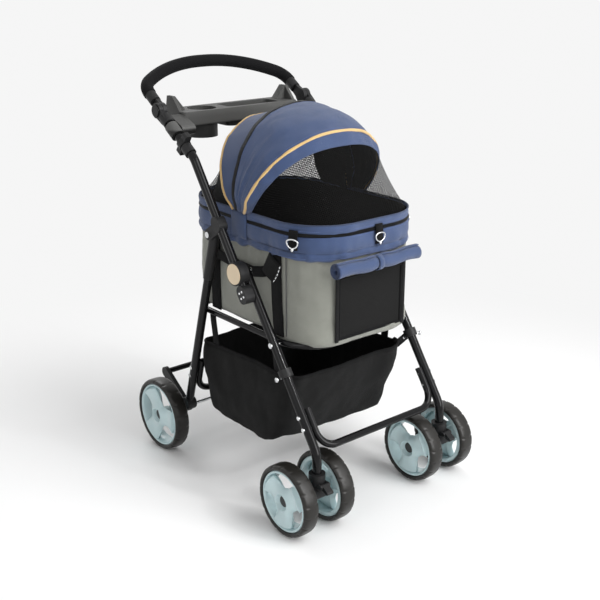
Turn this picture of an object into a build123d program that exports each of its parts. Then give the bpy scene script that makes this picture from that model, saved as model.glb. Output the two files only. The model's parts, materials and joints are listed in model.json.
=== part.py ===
from build123d import *
from math import asin, atan2, cos, degrees, hypot, radians, sin, tan
import os

os.makedirs("parts", exist_ok=True)

# Driving dimensions, millimetres. Front is -Y, left is +X, Z is up from the floor.

# Wheels
front_tyre_od = 160.0
rear_tyre_od = 180.0
tyre_width = 38.0
tyre_depth = 12.0
tyre_shoulder = 9.0
rim_inset = 4.0
rim_ring = 8.0
hub_radius = 17.0
hub_inset = 2.0
web_thickness = 6.0
web_offset = 5.0
window_margin = 7.0
window_count = 3
window_angle = 76.0
front_axle_od = 8.0
rear_axle_od = 10.0

# Stance
wheelbase = 508.0
leg_x = 188.0
caster_trail = 32.0
twin_gap = 64.0
rear_wheel_gap = 8.0

# Steel tubes
tube_od = 20.0
tube_wall = 1.5
tube_gap = 1.0
crossbar_od = 16.0
seat_tube_od = 14.0
handle_tube_od = 19.0

# Fits
running_clearance = 0.05
body_gap = 0.6
seat_gap = 0.3

# Front legs and fold hinge
leg_bottom_z = 140.0
leg_bend_z = 180.0
leg_bend_radius = 70.0
hinge_setback = 203.0
hinge_z = 525.0
leg_overrun = 14.0
collar_z = 331.0
collar_length = 18.0
collar_wall = 5.0
front_bar_top_z = 262.0
front_bar_z = 187.0
bar_bend_radius = 40.0
rivet_radius = 2.5
rivet_head_radius = 4.5
rivet_head = 2.0
rivet_inset = 12.0
rivet_pitch = 22.0

# Upper tubes, lock, trigger
upper_overrun = 55.0
upper_run = 272.0
upper_bend_radius = 60.0
arm_run = 157.0
arm_tilt = 34.0
hinge_bolt_od = 8.0
bolt_head = 4.0
bolt_head_radius = 7.0
hinge_head = 2.0
hinge_cap_radius = 26.0
hinge_cap_wall = 2.0
badge_radius = 22.5
badge_thickness = 2.0
lock_radius = 14.0
lock_length = 13.0
ferrule_start = 13.0
ferrule_length = 23.0
sleeve_wall = 3.0
trigger_gap = 2.0
trigger_length = 15.0
trigger_wall = 4.0
trigger_ear_span = 54.0
trigger_ear_width = 16.0
trigger_ear_corner = 5.0

# Rear legs
rear_pivot_back = 115.0
rear_pivot_up = 60.0
rear_leg_lean = 16.07
rear_leg_inset = 2.0
rear_leg_overrun = 9.0
rear_leg_bottom_z = 112.0
rear_sleeve_wall = 2.0
rear_sleeve_length = 125.0
bracket_plate = 6.0
bracket_radius = 13.0
bracket_grip = 10.0
bracket_wall = 2.0
rear_bar_top_z = 245.0
rear_bar_z = 158.0
wheel_bracket_radius = 16.0
wheel_bracket_width = 24.0
brake_reach = 92.0
brake_rise = 62.0
brake_half = 150.0
brake_bar_od = 14.0
brake_arm_width = 10.0
brake_boss_radius = 12.0
brake_pad_radius = 13.0

# Handle and tray
handle_offset = 5.0
handle_reach = 155.0
handle_corner_radius = 50.0
handle_bow_radius = 300.0
handle_top_straight = 14.74
handle_shoulder = 6.87
handle_start = 34.0
grip_lead = 2.58
grip_od = 29.0
knuckle_radius = 17.0
knuckle_width = 10.0
knuckle_pin_radius = 5.0
socket_wall = 3.5
socket_length = 24.0
socket_clear = 5.0
button_radius = 14.0
button_recess = 5.0
button_height = 6.0
button_travel = 2.0
button_clearance = 0.2
button_edge = 1.0
tray_half = 168.0
tray_front_back = 85.0
tray_setback = -31.0
tray_z = 800.0
tray_height = 32.0
tray_corner = 14.0
tray_wall = 3.0
tray_lip_rise = 32.0
tray_lip_wall = 8.0
tray_lip_flat = 22.0
tray_wing = 34.0
tray_clamp_start = 72.0
tray_clamp_length = 32.0
tray_clamp_wall = 5.0
tray_web_radius = 12.0
cup_x = -89.0
cup_radius = 34.0
cup_wall = 2.5
cup_depth = 62.0
pocket_x = 45.0
pocket_length = 150.0
pocket_width = 56.0
pocket_depth = 42.0
pocket_corner = 12.0

# Casters
pin_radius = 6.0
pin_reach = 36.0
pin_plug = 18.0
fork_half = 20.0
fork_head_radius = 18.0
fork_head_height = 42.0
fork_axle_radius = 14.0
fork_boss_radius = 12.0
lock_lever_pivot = 24.0
lock_lever_z = 118.0
lock_lever_reach = 16.0
lock_lever_drop = 9.0
lock_lever_root = 5.0
lock_lever_tip = 4.0
lock_lever_half = 8.0
lock_ear = 4.0
lock_pin_radius = 2.5

# Seat loop and basket
seat_z = 385.0
seat_front = 75.0
seat_rear = 55.0
seat_corner = 45.0
seat_front_corner = 85.0
seat_bolt_radius = 3.0
basket_half = 165.0
basket_front = 70.0
basket_rear = 420.0
basket_bottom_z = 128.0
basket_height = 182.0
basket_corner = 45.0
basket_floor_half = 154.0
basket_floor_front = 118.0
basket_floor_rear = 412.0
basket_wall = 3.0
hanger_width = 22.0
hanger_inset = 60.0

# Carrier, canopy and door
carrier_front = 14.0
carrier_length = 460.0
carrier_half = 160.0
carrier_corner = 100.0
carrier_wall = 3.0
rim_z = 646.0
band_height = 66.0
band_thickness = 9.0
body_below_rim = 6.0
mat_thickness = 10.0
mat_gap = 1.0
door_half = 92.0
door_sill = 6.0
door_height = 138.0
door_gap = 1.5
roll_radius = 17.0
roll_half = 118.0
roll_z = 560.0
roll_stand = 19.0
canopy_setback = 238.0
canopy_rise = 3.0
canopy_half = 182.0
canopy_height = 214.0
canopy_corner = 176.0
fabric = 3.0
bow_radius = 2.5
bow_gap = 0.3
rear_bow_inset = 9.0
canopy_front_tilt = 42.0
front_bow_tilt = 38.0
canopy_rear_tilt = 5.0
rear_bow_tilt = 33.0
mesh_tilt = 88.0
panel_gap = 0.6
hook_width = 20.0
hook_height = 26.0
hook_wire = 3.0
hook_stand = 2.0
hook_z = 611.0

# Derived side-view layout, (y, z) points
leg_rake = degrees(atan2(hinge_z - leg_bend_z, hinge_setback + caster_trail))
reach = hinge_setback + upper_run * cos(radians(leg_rake)) + (arm_run + handle_reach) * cos(radians(arm_tilt))
front_axle_y = (front_tyre_od / 2 - reach - grip_od / 2) / 2


def along(point, angle, distance):
    """The point at a distance from another, along an angle above the rearward horizontal."""
    return (point[0] + distance * cos(radians(angle)), point[1] + distance * sin(radians(angle)))


front_axle = (front_axle_y, front_tyre_od / 2)
rear_axle_centre = (front_axle_y + wheelbase, rear_tyre_od / 2)
swivel_y = front_axle_y - caster_trail
hinge = (front_axle_y + hinge_setback, hinge_z)
upper_bend = along(hinge, leg_rake, upper_run)
knuckle = along(upper_bend, arm_tilt, arm_run)
rear_pivot = (hinge[0] + rear_pivot_back, hinge[1] + rear_pivot_up)
tube_radius = tube_od / 2
tube_bore = tube_radius - tube_wall
upper_x = leg_x + tube_od + tube_gap
handle_half = upper_x - handle_offset

# Bow of the handle: its shoulder angle follows from the width, the bends and the straight runs
bend_spread = handle_bow_radius - handle_corner_radius
shoulder_width = handle_half - handle_corner_radius - handle_top_straight / 2
shoulder_angle = asin(shoulder_width / hypot(bend_spread, handle_shoulder)) - atan2(handle_shoulder, bend_spread)
corner_turn = radians(90) - shoulder_angle
handle_flat_half = handle_top_straight / 2 + handle_bow_radius * tan(shoulder_angle / 2)
handle_corner_run = handle_reach - (handle_half - handle_flat_half) * tan(shoulder_angle)
grip_start = handle_corner_run - handle_corner_radius * tan(corner_turn / 2) - grip_lead
rear_leg_x = leg_x - rear_leg_inset
upper_inner_x = leg_x + tube_radius + body_gap
upper_outer_x = upper_x + tube_radius
front_bar_x = leg_x - tube_radius - crossbar_od / 2 - seat_gap
rear_bar_x = rear_leg_x - tube_radius - crossbar_od / 2 - seat_gap
seat_bar_x = rear_leg_x - tube_radius - seat_tube_od / 2 - tube_gap
carrier_y = front_axle_y + carrier_front
carrier_mid_y = carrier_y + carrier_length / 2
carrier_bottom_z = seat_z + seat_tube_od / 2 + seat_gap
canopy_axis = (carrier_y + canopy_setback, rim_z + canopy_rise)
rear_wheel_x = rear_leg_x + wheel_bracket_width / 2 + rear_wheel_gap + tyre_width / 2
twin_offset = twin_gap / 2 + tyre_width / 2


def leg_at(z):
    """The front leg's axis at a height."""
    return (hinge[0] - (hinge_z - z) / tan(radians(leg_rake)), z)


def rear_leg_at(z):
    """The rear leg's axis at a height."""
    return (rear_pivot[0] + (rear_pivot[1] - z) * tan(radians(rear_leg_lean)), z)


seat_pivot = leg_at(seat_z)
seat_rear_pivot = rear_leg_at(seat_z)


# Shared builders, used inside the part being built

def swept_tube(points, bends, outer, inner=0.0, mode=Mode.ADD):
    """A round bar or tube along straight runs joined by arcs."""
    with BuildLine() as path:
        if bends is None:
            Line(*points)
        else:
            FilletPolyline(*points, radius=bends)
    with BuildSketch(Plane(origin=path.line @ 0, z_dir=path.line % 0)) as section:
        Circle(outer)
        if inner > 0:
            Circle(inner, mode=Mode.SUBTRACT)
    sweep(section.sketch, path=path.line, mode=mode)


def disc(x_from, x_to, centre, radius, mode=Mode.ADD):
    """A cylinder along X between two x values."""
    with BuildSketch(Plane.YZ.offset(x_from)) as section:
        with Locations(centre):
            Circle(radius)
    extrude(section.sketch, amount=x_to - x_from, mode=mode)


def link(x_from, x_to, centre_a, radius_a, centre_b, radius_b):
    """A flat bar with two round ends, seen from the side."""
    with BuildSketch(Plane.YZ.offset(x_from)) as section:
        with Locations(centre_a):
            Circle(radius_a)
        with Locations(centre_b):
            Circle(radius_b)
        make_hull()
    extrude(section.sketch, amount=x_to - x_from)


def across(x, point, angle):
    """The plane across a tube that runs at an angle in the side view."""
    direction = (0, cos(radians(angle)), sin(radians(angle)))
    return Plane(origin=(x, point[0], point[1]), x_dir=(1, 0, 0), z_dir=direction)


def round_bar(x, point, angle, start, length, radius, mode=Mode.ADD):
    """A cylinder along a tube's axis, from a start distance."""
    with BuildSketch(across(x, along(point, angle, start), angle)) as section:
        Circle(radius)
    extrude(section.sketch, amount=length, mode=mode)


def finish(piece, name):
    """Label a finished piece and write it."""
    piece.part.label = name
    export_step(piece.part, f"parts/{name}.step")


def rivets_on(axis_at, top_z):
    """The side-view places of a crossbar end's two rivets."""
    return [axis_at(top_z - rivet_inset), axis_at(top_z - rivet_inset - rivet_pitch)]


front_rivet_places = rivets_on(leg_at, front_bar_top_z)
rear_rivet_places = rivets_on(rear_leg_at, rear_bar_top_z)

# Front legs
with BuildPart() as front_legs:
    leg_top = along(hinge, leg_rake, leg_overrun)
    leg_path = [(leg_x, swivel_y, leg_bottom_z), (leg_x, swivel_y, leg_bend_z), (leg_x, *leg_top)]
    swept_tube(leg_path, leg_bend_radius, tube_radius, tube_bore)
    disc(leg_x - tube_od, leg_x + tube_od, hinge, hinge_bolt_od / 2, Mode.SUBTRACT)
    disc(leg_x - tube_od, leg_x + tube_od, seat_pivot, seat_bolt_radius, Mode.SUBTRACT)
    for place in front_rivet_places:
        disc(leg_x - tube_od, leg_x + tube_od, place, rivet_radius, Mode.SUBTRACT)
    mirror(about=Plane.YZ)
finish(front_legs, "front_legs")

# Front crossbar, a U whose ends are riveted inside the legs
with BuildPart() as front_crossbar:
    bar_top = leg_at(front_bar_top_z)
    bar_low = leg_at(front_bar_z)
    bar_path = [(front_bar_x, *bar_top), (front_bar_x, *bar_low),
                (-front_bar_x, *bar_low), (-front_bar_x, *bar_top)]
    swept_tube(bar_path, bar_bend_radius, crossbar_od / 2, crossbar_od / 2 - tube_wall)
    for place in front_rivet_places:
        disc(-leg_x, leg_x, place, rivet_radius, Mode.SUBTRACT)
finish(front_crossbar, "front_crossbar")

with BuildPart() as front_rivets:
    for place in front_rivet_places:
        disc(front_bar_x - crossbar_od / 2, leg_x + tube_radius, place, rivet_radius)
        disc(leg_x + tube_radius, leg_x + tube_radius + rivet_head, place, rivet_head_radius)
    mirror(about=Plane.YZ)
finish(front_rivets, "front_rivets")

with BuildPart() as leg_collars:
    round_bar(leg_x, leg_at(collar_z), leg_rake, -collar_length / 2, collar_length, tube_radius + collar_wall)
    round_bar(leg_x, leg_at(collar_z), leg_rake, -collar_length, 2 * collar_length, tube_radius, Mode.SUBTRACT)
    mirror(about=Plane.YZ)
finish(leg_collars, "leg_collars")

# Bolts fixed in the front legs: the fold hinge and the seat loop turn on them
with BuildPart() as pivot_bolts:
    leg_inner_x = leg_x - tube_radius
    disc(leg_inner_x, upper_outer_x, hinge, hinge_bolt_od / 2)
    disc(leg_inner_x - hinge_head, leg_inner_x, hinge, bolt_head_radius)
    disc(seat_bar_x - seat_tube_od / 2, leg_x + tube_radius, seat_pivot, seat_bolt_radius)
    disc(leg_x + tube_radius, leg_x + tube_radius + rivet_head, seat_pivot, 2 * seat_bolt_radius)
    mirror(about=Plane.YZ)
finish(pivot_bolts, "pivot_bolts")

with BuildPart() as swivel_pins:
    with BuildSketch(Plane.XY.offset(leg_bottom_z)):
        with Locations((leg_x, swivel_y)):
            Circle(pin_radius)
    extrude(amount=-pin_reach)
    with BuildSketch(Plane.XY.offset(leg_bottom_z)):
        with Locations((leg_x, swivel_y)):
            Circle(tube_bore)
    extrude(amount=pin_plug)
    mirror(about=Plane.YZ)
finish(swivel_pins, "swivel_pins")

# Upper tubes beside the legs, bent towards the handle
with BuildPart() as upper_tubes:
    upper_low = along(hinge, leg_rake, -upper_overrun)
    upper_end = along(knuckle, arm_tilt, -knuckle_radius - tube_wall)
    upper_path = [(upper_x, *upper_low), (upper_x, *upper_bend), (upper_x, *upper_end)]
    swept_tube(upper_path, upper_bend_radius, tube_radius, tube_bore)
    disc(leg_x, upper_outer_x + tube_gap, hinge, hinge_bolt_od / 2 + running_clearance, Mode.SUBTRACT)
    mirror(about=Plane.YZ)
finish(upper_tubes, "upper_tubes")

with BuildPart() as hinge_housings:
    disc(upper_inner_x, upper_outer_x + hinge_cap_wall, hinge, hinge_cap_radius)
    round_bar(upper_x, hinge, leg_rake, -hinge_cap_radius, 2 * hinge_cap_radius, tube_radius, Mode.SUBTRACT)
    disc(leg_x, upper_outer_x + tube_gap, hinge, hinge_bolt_od / 2 + running_clearance, Mode.SUBTRACT)
    mirror(about=Plane.YZ)
finish(hinge_housings, "hinge_housings")

with BuildPart() as hinge_badges:
    badge_x = upper_outer_x + hinge_cap_wall
    disc(badge_x, badge_x + badge_thickness, hinge, badge_radius)
    mirror(about=Plane.YZ)
finish(hinge_badges, "hinge_badges")

with BuildPart() as tube_lock_blocks:
    lock_low = along(hinge, leg_rake, -upper_overrun)
    link(upper_inner_x, upper_outer_x + sleeve_wall, lock_low, lock_radius,
         along(lock_low, leg_rake, lock_length), lock_radius)
    round_bar(upper_x, lock_low, leg_rake, 0, upper_overrun, tube_radius, Mode.SUBTRACT)
    mirror(about=Plane.YZ)
finish(tube_lock_blocks, "tube_lock_blocks")

# Brackets that carry the rear legs behind the upper tubes
bracket_run = rear_pivot_back * cos(radians(leg_rake)) + rear_pivot_up * sin(radians(leg_rake))
bracket_seat = along(hinge, leg_rake, bracket_run)
with BuildPart() as rear_leg_brackets:
    link(upper_inner_x, upper_inner_x + bracket_plate, bracket_seat, bracket_radius, rear_pivot, bracket_radius)
    grip_low = along(bracket_seat, leg_rake, -bracket_grip / 2)
    grip_high = along(bracket_seat, leg_rake, bracket_grip / 2)
    link(upper_inner_x, upper_outer_x + bracket_wall, grip_low, bracket_radius, grip_high, bracket_radius)
    round_bar(upper_x, bracket_seat, leg_rake, -2 * bracket_radius, 4 * bracket_radius, tube_radius, Mode.SUBTRACT)
    disc(leg_x, upper_outer_x, rear_pivot, hinge_bolt_od / 2, Mode.SUBTRACT)
    mirror(about=Plane.YZ)
finish(rear_leg_brackets, "rear_leg_brackets")

with BuildPart() as rear_leg_bolts:
    bolt_face = upper_inner_x + bracket_plate
    disc(rear_leg_x - tube_radius, bolt_face, rear_pivot, hinge_bolt_od / 2)
    disc(bolt_face, bolt_face + bolt_head, rear_pivot, bolt_head_radius)
    mirror(about=Plane.YZ)
finish(rear_leg_bolts, "rear_leg_bolts")

with BuildPart() as trigger_ferrules:
    round_bar(upper_x, upper_bend, arm_tilt, ferrule_start, ferrule_length, tube_radius + sleeve_wall)
    round_bar(upper_x, upper_bend, arm_tilt, ferrule_start, ferrule_length, tube_radius, Mode.SUBTRACT)
    mirror(about=Plane.YZ)
finish(trigger_ferrules, "trigger_ferrules")

# Fixed halves of the handle joints, with a recess for the angle button
knuckle_face = upper_outer_x + tube_gap / 2
with BuildPart() as handle_knuckles:
    socket_start = arm_run - knuckle_radius - socket_clear - socket_length
    disc(knuckle_face - knuckle_width, knuckle_face, knuckle, knuckle_radius)
    link(knuckle_face - knuckle_width, knuckle_face, knuckle, lock_radius,
         along(upper_bend, arm_tilt, socket_start + socket_length / 2), tube_radius)
    round_bar(upper_x, upper_bend, arm_tilt, socket_start, socket_length, tube_radius + socket_wall)
    round_bar(upper_x, upper_bend, arm_tilt, ferrule_start, arm_run - knuckle_radius - ferrule_start,
              tube_radius, Mode.SUBTRACT)
    disc(knuckle_face - button_recess, knuckle_face, knuckle, button_radius + button_clearance, Mode.SUBTRACT)
    disc(knuckle_face - 2 * knuckle_width, knuckle_face - knuckle_width, knuckle, knuckle_pin_radius)
    mirror(about=Plane.YZ)
finish(handle_knuckles, "handle_knuckles")

# Moulded tray between the upper tubes: a cup well and a long pocket
tray_y = knuckle[0] + tray_setback
tray_mid_y = tray_y + tray_front_back / 2
tray_top_z = tray_z + tray_height
with BuildPart() as cup_tray:
    with BuildSketch(Plane.XY.offset(tray_z)):
        with Locations((0, tray_mid_y)):
            RectangleRounded(2 * tray_half, tray_front_back, tray_corner)
    extrude(amount=tray_height)
    with BuildSketch(Plane.XY.offset(tray_top_z)):
        with Locations((cup_x, tray_mid_y)):
            Circle(cup_radius + cup_wall)
    extrude(amount=-cup_depth - cup_wall)
    with BuildSketch(Plane.XY.offset(tray_top_z)):
        with Locations((pocket_x, tray_mid_y)):
            RectangleRounded(pocket_length + 2 * tray_wall, pocket_width + 2 * tray_wall,
                             pocket_corner + tray_wall)
    extrude(amount=-pocket_depth - tray_wall)
    for side in (1, -1):
        with BuildSketch(Plane.YZ.offset(side * (tray_half - tray_lip_wall / 2))):
            with BuildLine():
                lip_top = tray_top_z + tray_lip_rise
                lip_mid = tray_mid_y + tray_lip_flat / 2
                Polyline((tray_y + tray_corner, tray_z), (tray_y + tray_corner, tray_top_z),
                         (lip_mid - tray_lip_flat / 2, lip_top), (lip_mid + tray_lip_flat / 2, lip_top),
                         (tray_y + tray_front_back - tray_corner, tray_top_z),
                         (tray_y + tray_front_back - tray_corner, tray_z), close=True)
            make_face()
        extrude(amount=tray_lip_wall / 2, both=True)
        with BuildSketch(Plane.XZ.offset(-lip_mid)):
            with BuildLine():
                Polyline((side * tray_half, tray_z), (side * tray_half, lip_top),
                         (side * (tray_half - tray_lip_wall), lip_top),
                         (side * (tray_half - tray_wing), tray_top_z), (side * (tray_half - tray_wing), tray_z),
                         close=True)
            make_face()
        extrude(amount=tray_lip_flat / 2, both=True)
        clamp_centre = along(upper_bend, arm_tilt, tray_clamp_start + tray_clamp_length / 2)
        web_end = (tray_y + tray_corner, tray_z + tray_height / 2)
        web_in = side * (tray_half - tray_lip_wall)
        web_out = upper_x - tube_radius - socket_wall - seat_gap
        link(web_in, side * web_out, clamp_centre, tray_web_radius, web_end, tray_web_radius)
        round_bar(side * upper_x, upper_bend, arm_tilt, tray_clamp_start, tray_clamp_length,
                  tube_radius + tray_clamp_wall)
        round_bar(side * upper_x, upper_bend, arm_tilt, tray_clamp_start - tray_clamp_length,
                  3 * tray_clamp_length, tube_radius, Mode.SUBTRACT)
    with BuildSketch(Plane.XY.offset(tray_top_z)):
        with Locations((cup_x, tray_mid_y)):
            Circle(cup_radius)
    extrude(amount=-cup_depth, mode=Mode.SUBTRACT)
    with BuildSketch(Plane.XY.offset(tray_top_z)):
        with Locations((pocket_x, tray_mid_y)):
            RectangleRounded(pocket_length, pocket_width, pocket_corner)
    extrude(amount=-pocket_depth, mode=Mode.SUBTRACT)
finish(cup_tray, "cup_tray")


# Fold triggers, handle buttons, casters and wheels, one set per side

def handle_point(x, run):
    """A point of the handle's plane, at a distance from the knuckle."""
    return (x, *along(knuckle, arm_tilt, run))


def build_trigger(name, side):
    """A finger collar with two ears that slides on the upper tube."""
    start = ferrule_start + ferrule_length + trigger_gap
    with BuildPart() as trigger:
        with BuildSketch(across(side * upper_x, along(upper_bend, arm_tilt, start), arm_tilt)):
            Circle(tube_radius + trigger_wall)
            RectangleRounded(trigger_ear_width, trigger_ear_span, trigger_ear_corner)
            Circle(tube_radius + running_clearance, mode=Mode.SUBTRACT)
        extrude(amount=trigger_length)
    finish(trigger, f"{name}_fold_trigger")


def build_button(name, side):
    """The round button in the outer face of a handle joint."""
    inner = knuckle_face - button_recess + button_travel
    with BuildPart() as button:
        disc(side * inner, side * (inner + button_height), knuckle, button_radius)
        outer_edges = button.edges().filter_by(GeomType.CIRCLE).sort_by(Axis.X, reverse=side < 0)
        fillet(outer_edges[-1], button_edge)
    finish(button, f"{name}_handle_button")


def build_fork(name, side):
    """A caster fork between the twin wheels, turning on the swivel pin."""
    mid = side * leg_x
    head_top = leg_bottom_z - 2 * running_clearance - body_gap
    lever_pivot = (swivel_y - lock_lever_pivot, lock_lever_z)
    with BuildPart() as fork:
        with BuildSketch(Plane.XY.offset(head_top)):
            with Locations((mid, swivel_y)):
                Circle(fork_head_radius)
        extrude(amount=-fork_head_height)
        link(mid - fork_half, mid + fork_half, (swivel_y, head_top - fork_head_height), fork_head_radius,
             front_axle, fork_axle_radius)
        disc(mid - twin_gap / 2 + body_gap, mid + twin_gap / 2 - body_gap, front_axle, fork_boss_radius)
        for ear in (lock_lever_half + body_gap, -lock_lever_half - body_gap - lock_ear):
            link(mid + ear, mid + ear + lock_ear, lever_pivot, lock_lever_root,
                 (swivel_y, lock_lever_z), lock_lever_root)
        with BuildSketch(Plane.XY.offset(leg_bottom_z)):
            with Locations((mid, swivel_y)):
                Circle(pin_radius + running_clearance)
        extrude(amount=-pin_reach - running_clearance, mode=Mode.SUBTRACT)
        disc(mid - twin_gap, mid + twin_gap, front_axle, front_axle_od / 2, Mode.SUBTRACT)
        disc(mid - fork_half, mid + fork_half, lever_pivot, lock_pin_radius + running_clearance, Mode.SUBTRACT)
    finish(fork, f"{name}_caster_fork")
    axle_half = twin_offset + tyre_width / 2 - rim_inset - hub_inset
    with BuildPart() as axle:
        disc(mid - axle_half, mid + axle_half, front_axle, front_axle_od / 2)
    finish(axle, f"{name}_caster_axle")
    lever_tip = (lever_pivot[0] - lock_lever_reach, lever_pivot[1] - lock_lever_drop)
    with BuildPart() as lever:
        link(mid - lock_lever_half, mid + lock_lever_half, lever_pivot, lock_lever_root,
             lever_tip, lock_lever_tip)
        pin_half = lock_lever_half + body_gap + lock_ear
        disc(mid - pin_half, mid + pin_half, lever_pivot, lock_pin_radius)
    finish(lever, f"{name}_swivel_lock")


def build_wheel(name, centre_x, outward, centre, tyre_od, axle_od):
    """A tyre and a three-window rim whose face looks outward."""
    origin = (centre_x, *centre)
    spin = Axis(origin, (1, 0, 0))
    radius = tyre_od / 2
    seat = radius - tyre_depth
    with BuildPart() as tyre:
        with BuildSketch(Plane(origin=origin)) as section:
            with Locations((0, seat + tyre_depth / 2)):
                Rectangle(tyre_width, tyre_depth)
            fillet(section.vertices().group_by(Axis.Y)[-1], tyre_shoulder)
        revolve(axis=spin)
    finish(tyre, f"{name}_tyre")
    with BuildPart() as rim:
        rim_half = tyre_width / 2 - rim_inset
        disc(centre_x - rim_half, centre_x + rim_half, centre, seat)
        disc(centre_x - rim_half, centre_x + rim_half, centre, seat - rim_ring, Mode.SUBTRACT)
        web_x = centre_x + outward * web_offset
        disc(web_x - web_thickness / 2, web_x + web_thickness / 2, centre, seat - rim_ring / 2)
        disc(centre_x - rim_half - hub_inset, centre_x + rim_half + hub_inset, centre, hub_radius)
        inner_r = hub_radius + window_margin
        outer_r = seat - rim_ring
        with BuildSketch(Plane(origin=(web_x - web_thickness, *centre), x_dir=(0, 1, 0), z_dir=(1, 0, 0))):
            for turn in range(window_count):
                first = 90 + turn * 360 / window_count - window_angle / 2
                with BuildLine():
                    CenterArc((0, 0), inner_r, first, window_angle)
                    CenterArc((0, 0), outer_r, first, window_angle)
                    for edge in (radians(first), radians(first + window_angle)):
                        Line((inner_r * cos(edge), inner_r * sin(edge)),
                             (outer_r * cos(edge), outer_r * sin(edge)))
                make_face()
        extrude(amount=2 * web_thickness, mode=Mode.SUBTRACT)
        bore_radius = axle_od / 2 + running_clearance
        disc(centre_x - tyre_width, centre_x + tyre_width, centre, bore_radius, Mode.SUBTRACT)
    finish(rim, f"{name}_rim")


for side_name, side_sign in (("left", 1), ("right", -1)):
    build_trigger(side_name, side_sign)
    build_button(side_name, side_sign)
    build_fork(side_name, side_sign)
    for place_name, offset in (("outer", twin_offset), ("inner", -twin_offset)):
        wheel_outward = side_sign if offset > 0 else -side_sign
        build_wheel(f"{side_name}_{place_name}_front", side_sign * (leg_x + offset), wheel_outward, front_axle,
                    front_tyre_od, front_axle_od)
    build_wheel(f"{side_name}_rear", side_sign * rear_wheel_x, side_sign, rear_axle_centre,
                rear_tyre_od, rear_axle_od)

# Handle: bent tube, foam sleeve and the turning halves of its joints
handle_path = [(-handle_half, handle_start), (-handle_half, handle_corner_run),
               (-handle_flat_half, handle_reach), (handle_flat_half, handle_reach),
               (handle_half, handle_corner_run), (handle_half, handle_start)]
handle_bends = [handle_corner_radius, handle_bow_radius, handle_bow_radius, handle_corner_radius]
with BuildPart() as handle_tube:
    swept_tube([handle_point(*point) for point in handle_path], handle_bends, handle_tube_od / 2,
               handle_tube_od / 2 - tube_wall)
finish(handle_tube, "handle_tube")

with BuildPart() as handle_grip:
    grip_path = [(-handle_half, grip_start), *handle_path[1:-1], (handle_half, grip_start)]
    swept_tube([handle_point(*point) for point in grip_path], handle_bends, grip_od / 2, handle_tube_od / 2)
finish(handle_grip, "handle_grip")

with BuildPart() as handle_arms:
    arm_outer = knuckle_face - knuckle_width - body_gap
    disc(arm_outer - knuckle_width, arm_outer, knuckle, knuckle_radius)
    socket_low = along(knuckle, arm_tilt, handle_start)
    link(arm_outer - knuckle_width, arm_outer, knuckle, lock_radius, socket_low, tube_radius)
    socket_length = grip_start - handle_start + socket_clear
    round_bar(handle_half, knuckle, arm_tilt, handle_start - socket_clear, socket_length,
              handle_tube_od / 2 + socket_wall)
    round_bar(handle_half, knuckle, arm_tilt, handle_start, grip_start, handle_tube_od / 2, Mode.SUBTRACT)
    disc(arm_outer - 2 * knuckle_width, arm_outer + body_gap, knuckle, knuckle_pin_radius + running_clearance,
         Mode.SUBTRACT)
    mirror(about=Plane.YZ)
finish(handle_arms, "handle_arms")

# Rear legs and what they carry
pivot_bore = hinge_bolt_od / 2 + running_clearance
with BuildPart() as rear_legs:
    rear_top = along(rear_pivot, 90 + rear_leg_lean, rear_leg_overrun)
    rear_low = rear_leg_at(rear_leg_bottom_z)
    swept_tube([(rear_leg_x, *rear_top), (rear_leg_x, *rear_low)], None, tube_radius, tube_bore)
    disc(rear_leg_x - tube_od, rear_leg_x + tube_od, rear_pivot, pivot_bore, Mode.SUBTRACT)
    for place in rear_rivet_places:
        disc(rear_leg_x - tube_od, rear_leg_x + tube_od, place, rivet_radius, Mode.SUBTRACT)
    mirror(about=Plane.YZ)
finish(rear_legs, "rear_legs")

with BuildPart() as rear_leg_sleeves:
    sleeve_angle = 90 + rear_leg_lean
    round_bar(rear_leg_x, rear_pivot, sleeve_angle, rear_leg_overrun - rear_sleeve_length, rear_sleeve_length,
              tube_radius + rear_sleeve_wall)
    round_bar(rear_leg_x, rear_pivot, sleeve_angle, rear_leg_overrun - rear_sleeve_length, rear_sleeve_length,
              tube_radius, Mode.SUBTRACT)
    disc(rear_leg_x - tube_od, rear_leg_x + tube_od, rear_pivot, pivot_bore, Mode.SUBTRACT)
    mirror(about=Plane.YZ)
finish(rear_leg_sleeves, "rear_leg_sleeves")

with BuildPart() as rear_crossbar:
    bar_top = rear_leg_at(rear_bar_top_z)
    bar_low = rear_leg_at(rear_bar_z)
    bar_path = [(rear_bar_x, *bar_top), (rear_bar_x, *bar_low),
                (-rear_bar_x, *bar_low), (-rear_bar_x, *bar_top)]
    swept_tube(bar_path, bar_bend_radius, crossbar_od / 2, crossbar_od / 2 - tube_wall)
    for place in rear_rivet_places:
        disc(-rear_leg_x, rear_leg_x, place, rivet_radius, Mode.SUBTRACT)
finish(rear_crossbar, "rear_crossbar")

with BuildPart() as rear_rivets:
    for place in rear_rivet_places:
        disc(rear_bar_x - crossbar_od / 2, rear_leg_x + tube_radius, place, rivet_radius)
        disc(rear_leg_x + tube_radius, rear_leg_x + tube_radius + rivet_head, place, rivet_head_radius)
    mirror(about=Plane.YZ)
finish(rear_rivets, "rear_rivets")

with BuildPart() as rear_wheel_brackets:
    bracket_in = rear_leg_x - wheel_bracket_width / 2
    bracket_top = along(rear_low, 90 + rear_leg_lean, wheel_bracket_radius)
    link(bracket_in, bracket_in + wheel_bracket_width, bracket_top, wheel_bracket_radius,
         rear_axle_centre, wheel_bracket_radius)
    round_bar(rear_leg_x, rear_low, 90 + rear_leg_lean, 0, 4 * wheel_bracket_radius, tube_radius, Mode.SUBTRACT)
    disc(bracket_in, bracket_in + wheel_bracket_width, rear_axle_centre, rear_axle_od / 2, Mode.SUBTRACT)
    mirror(about=Plane.YZ)
finish(rear_wheel_brackets, "rear_wheel_brackets")

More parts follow.
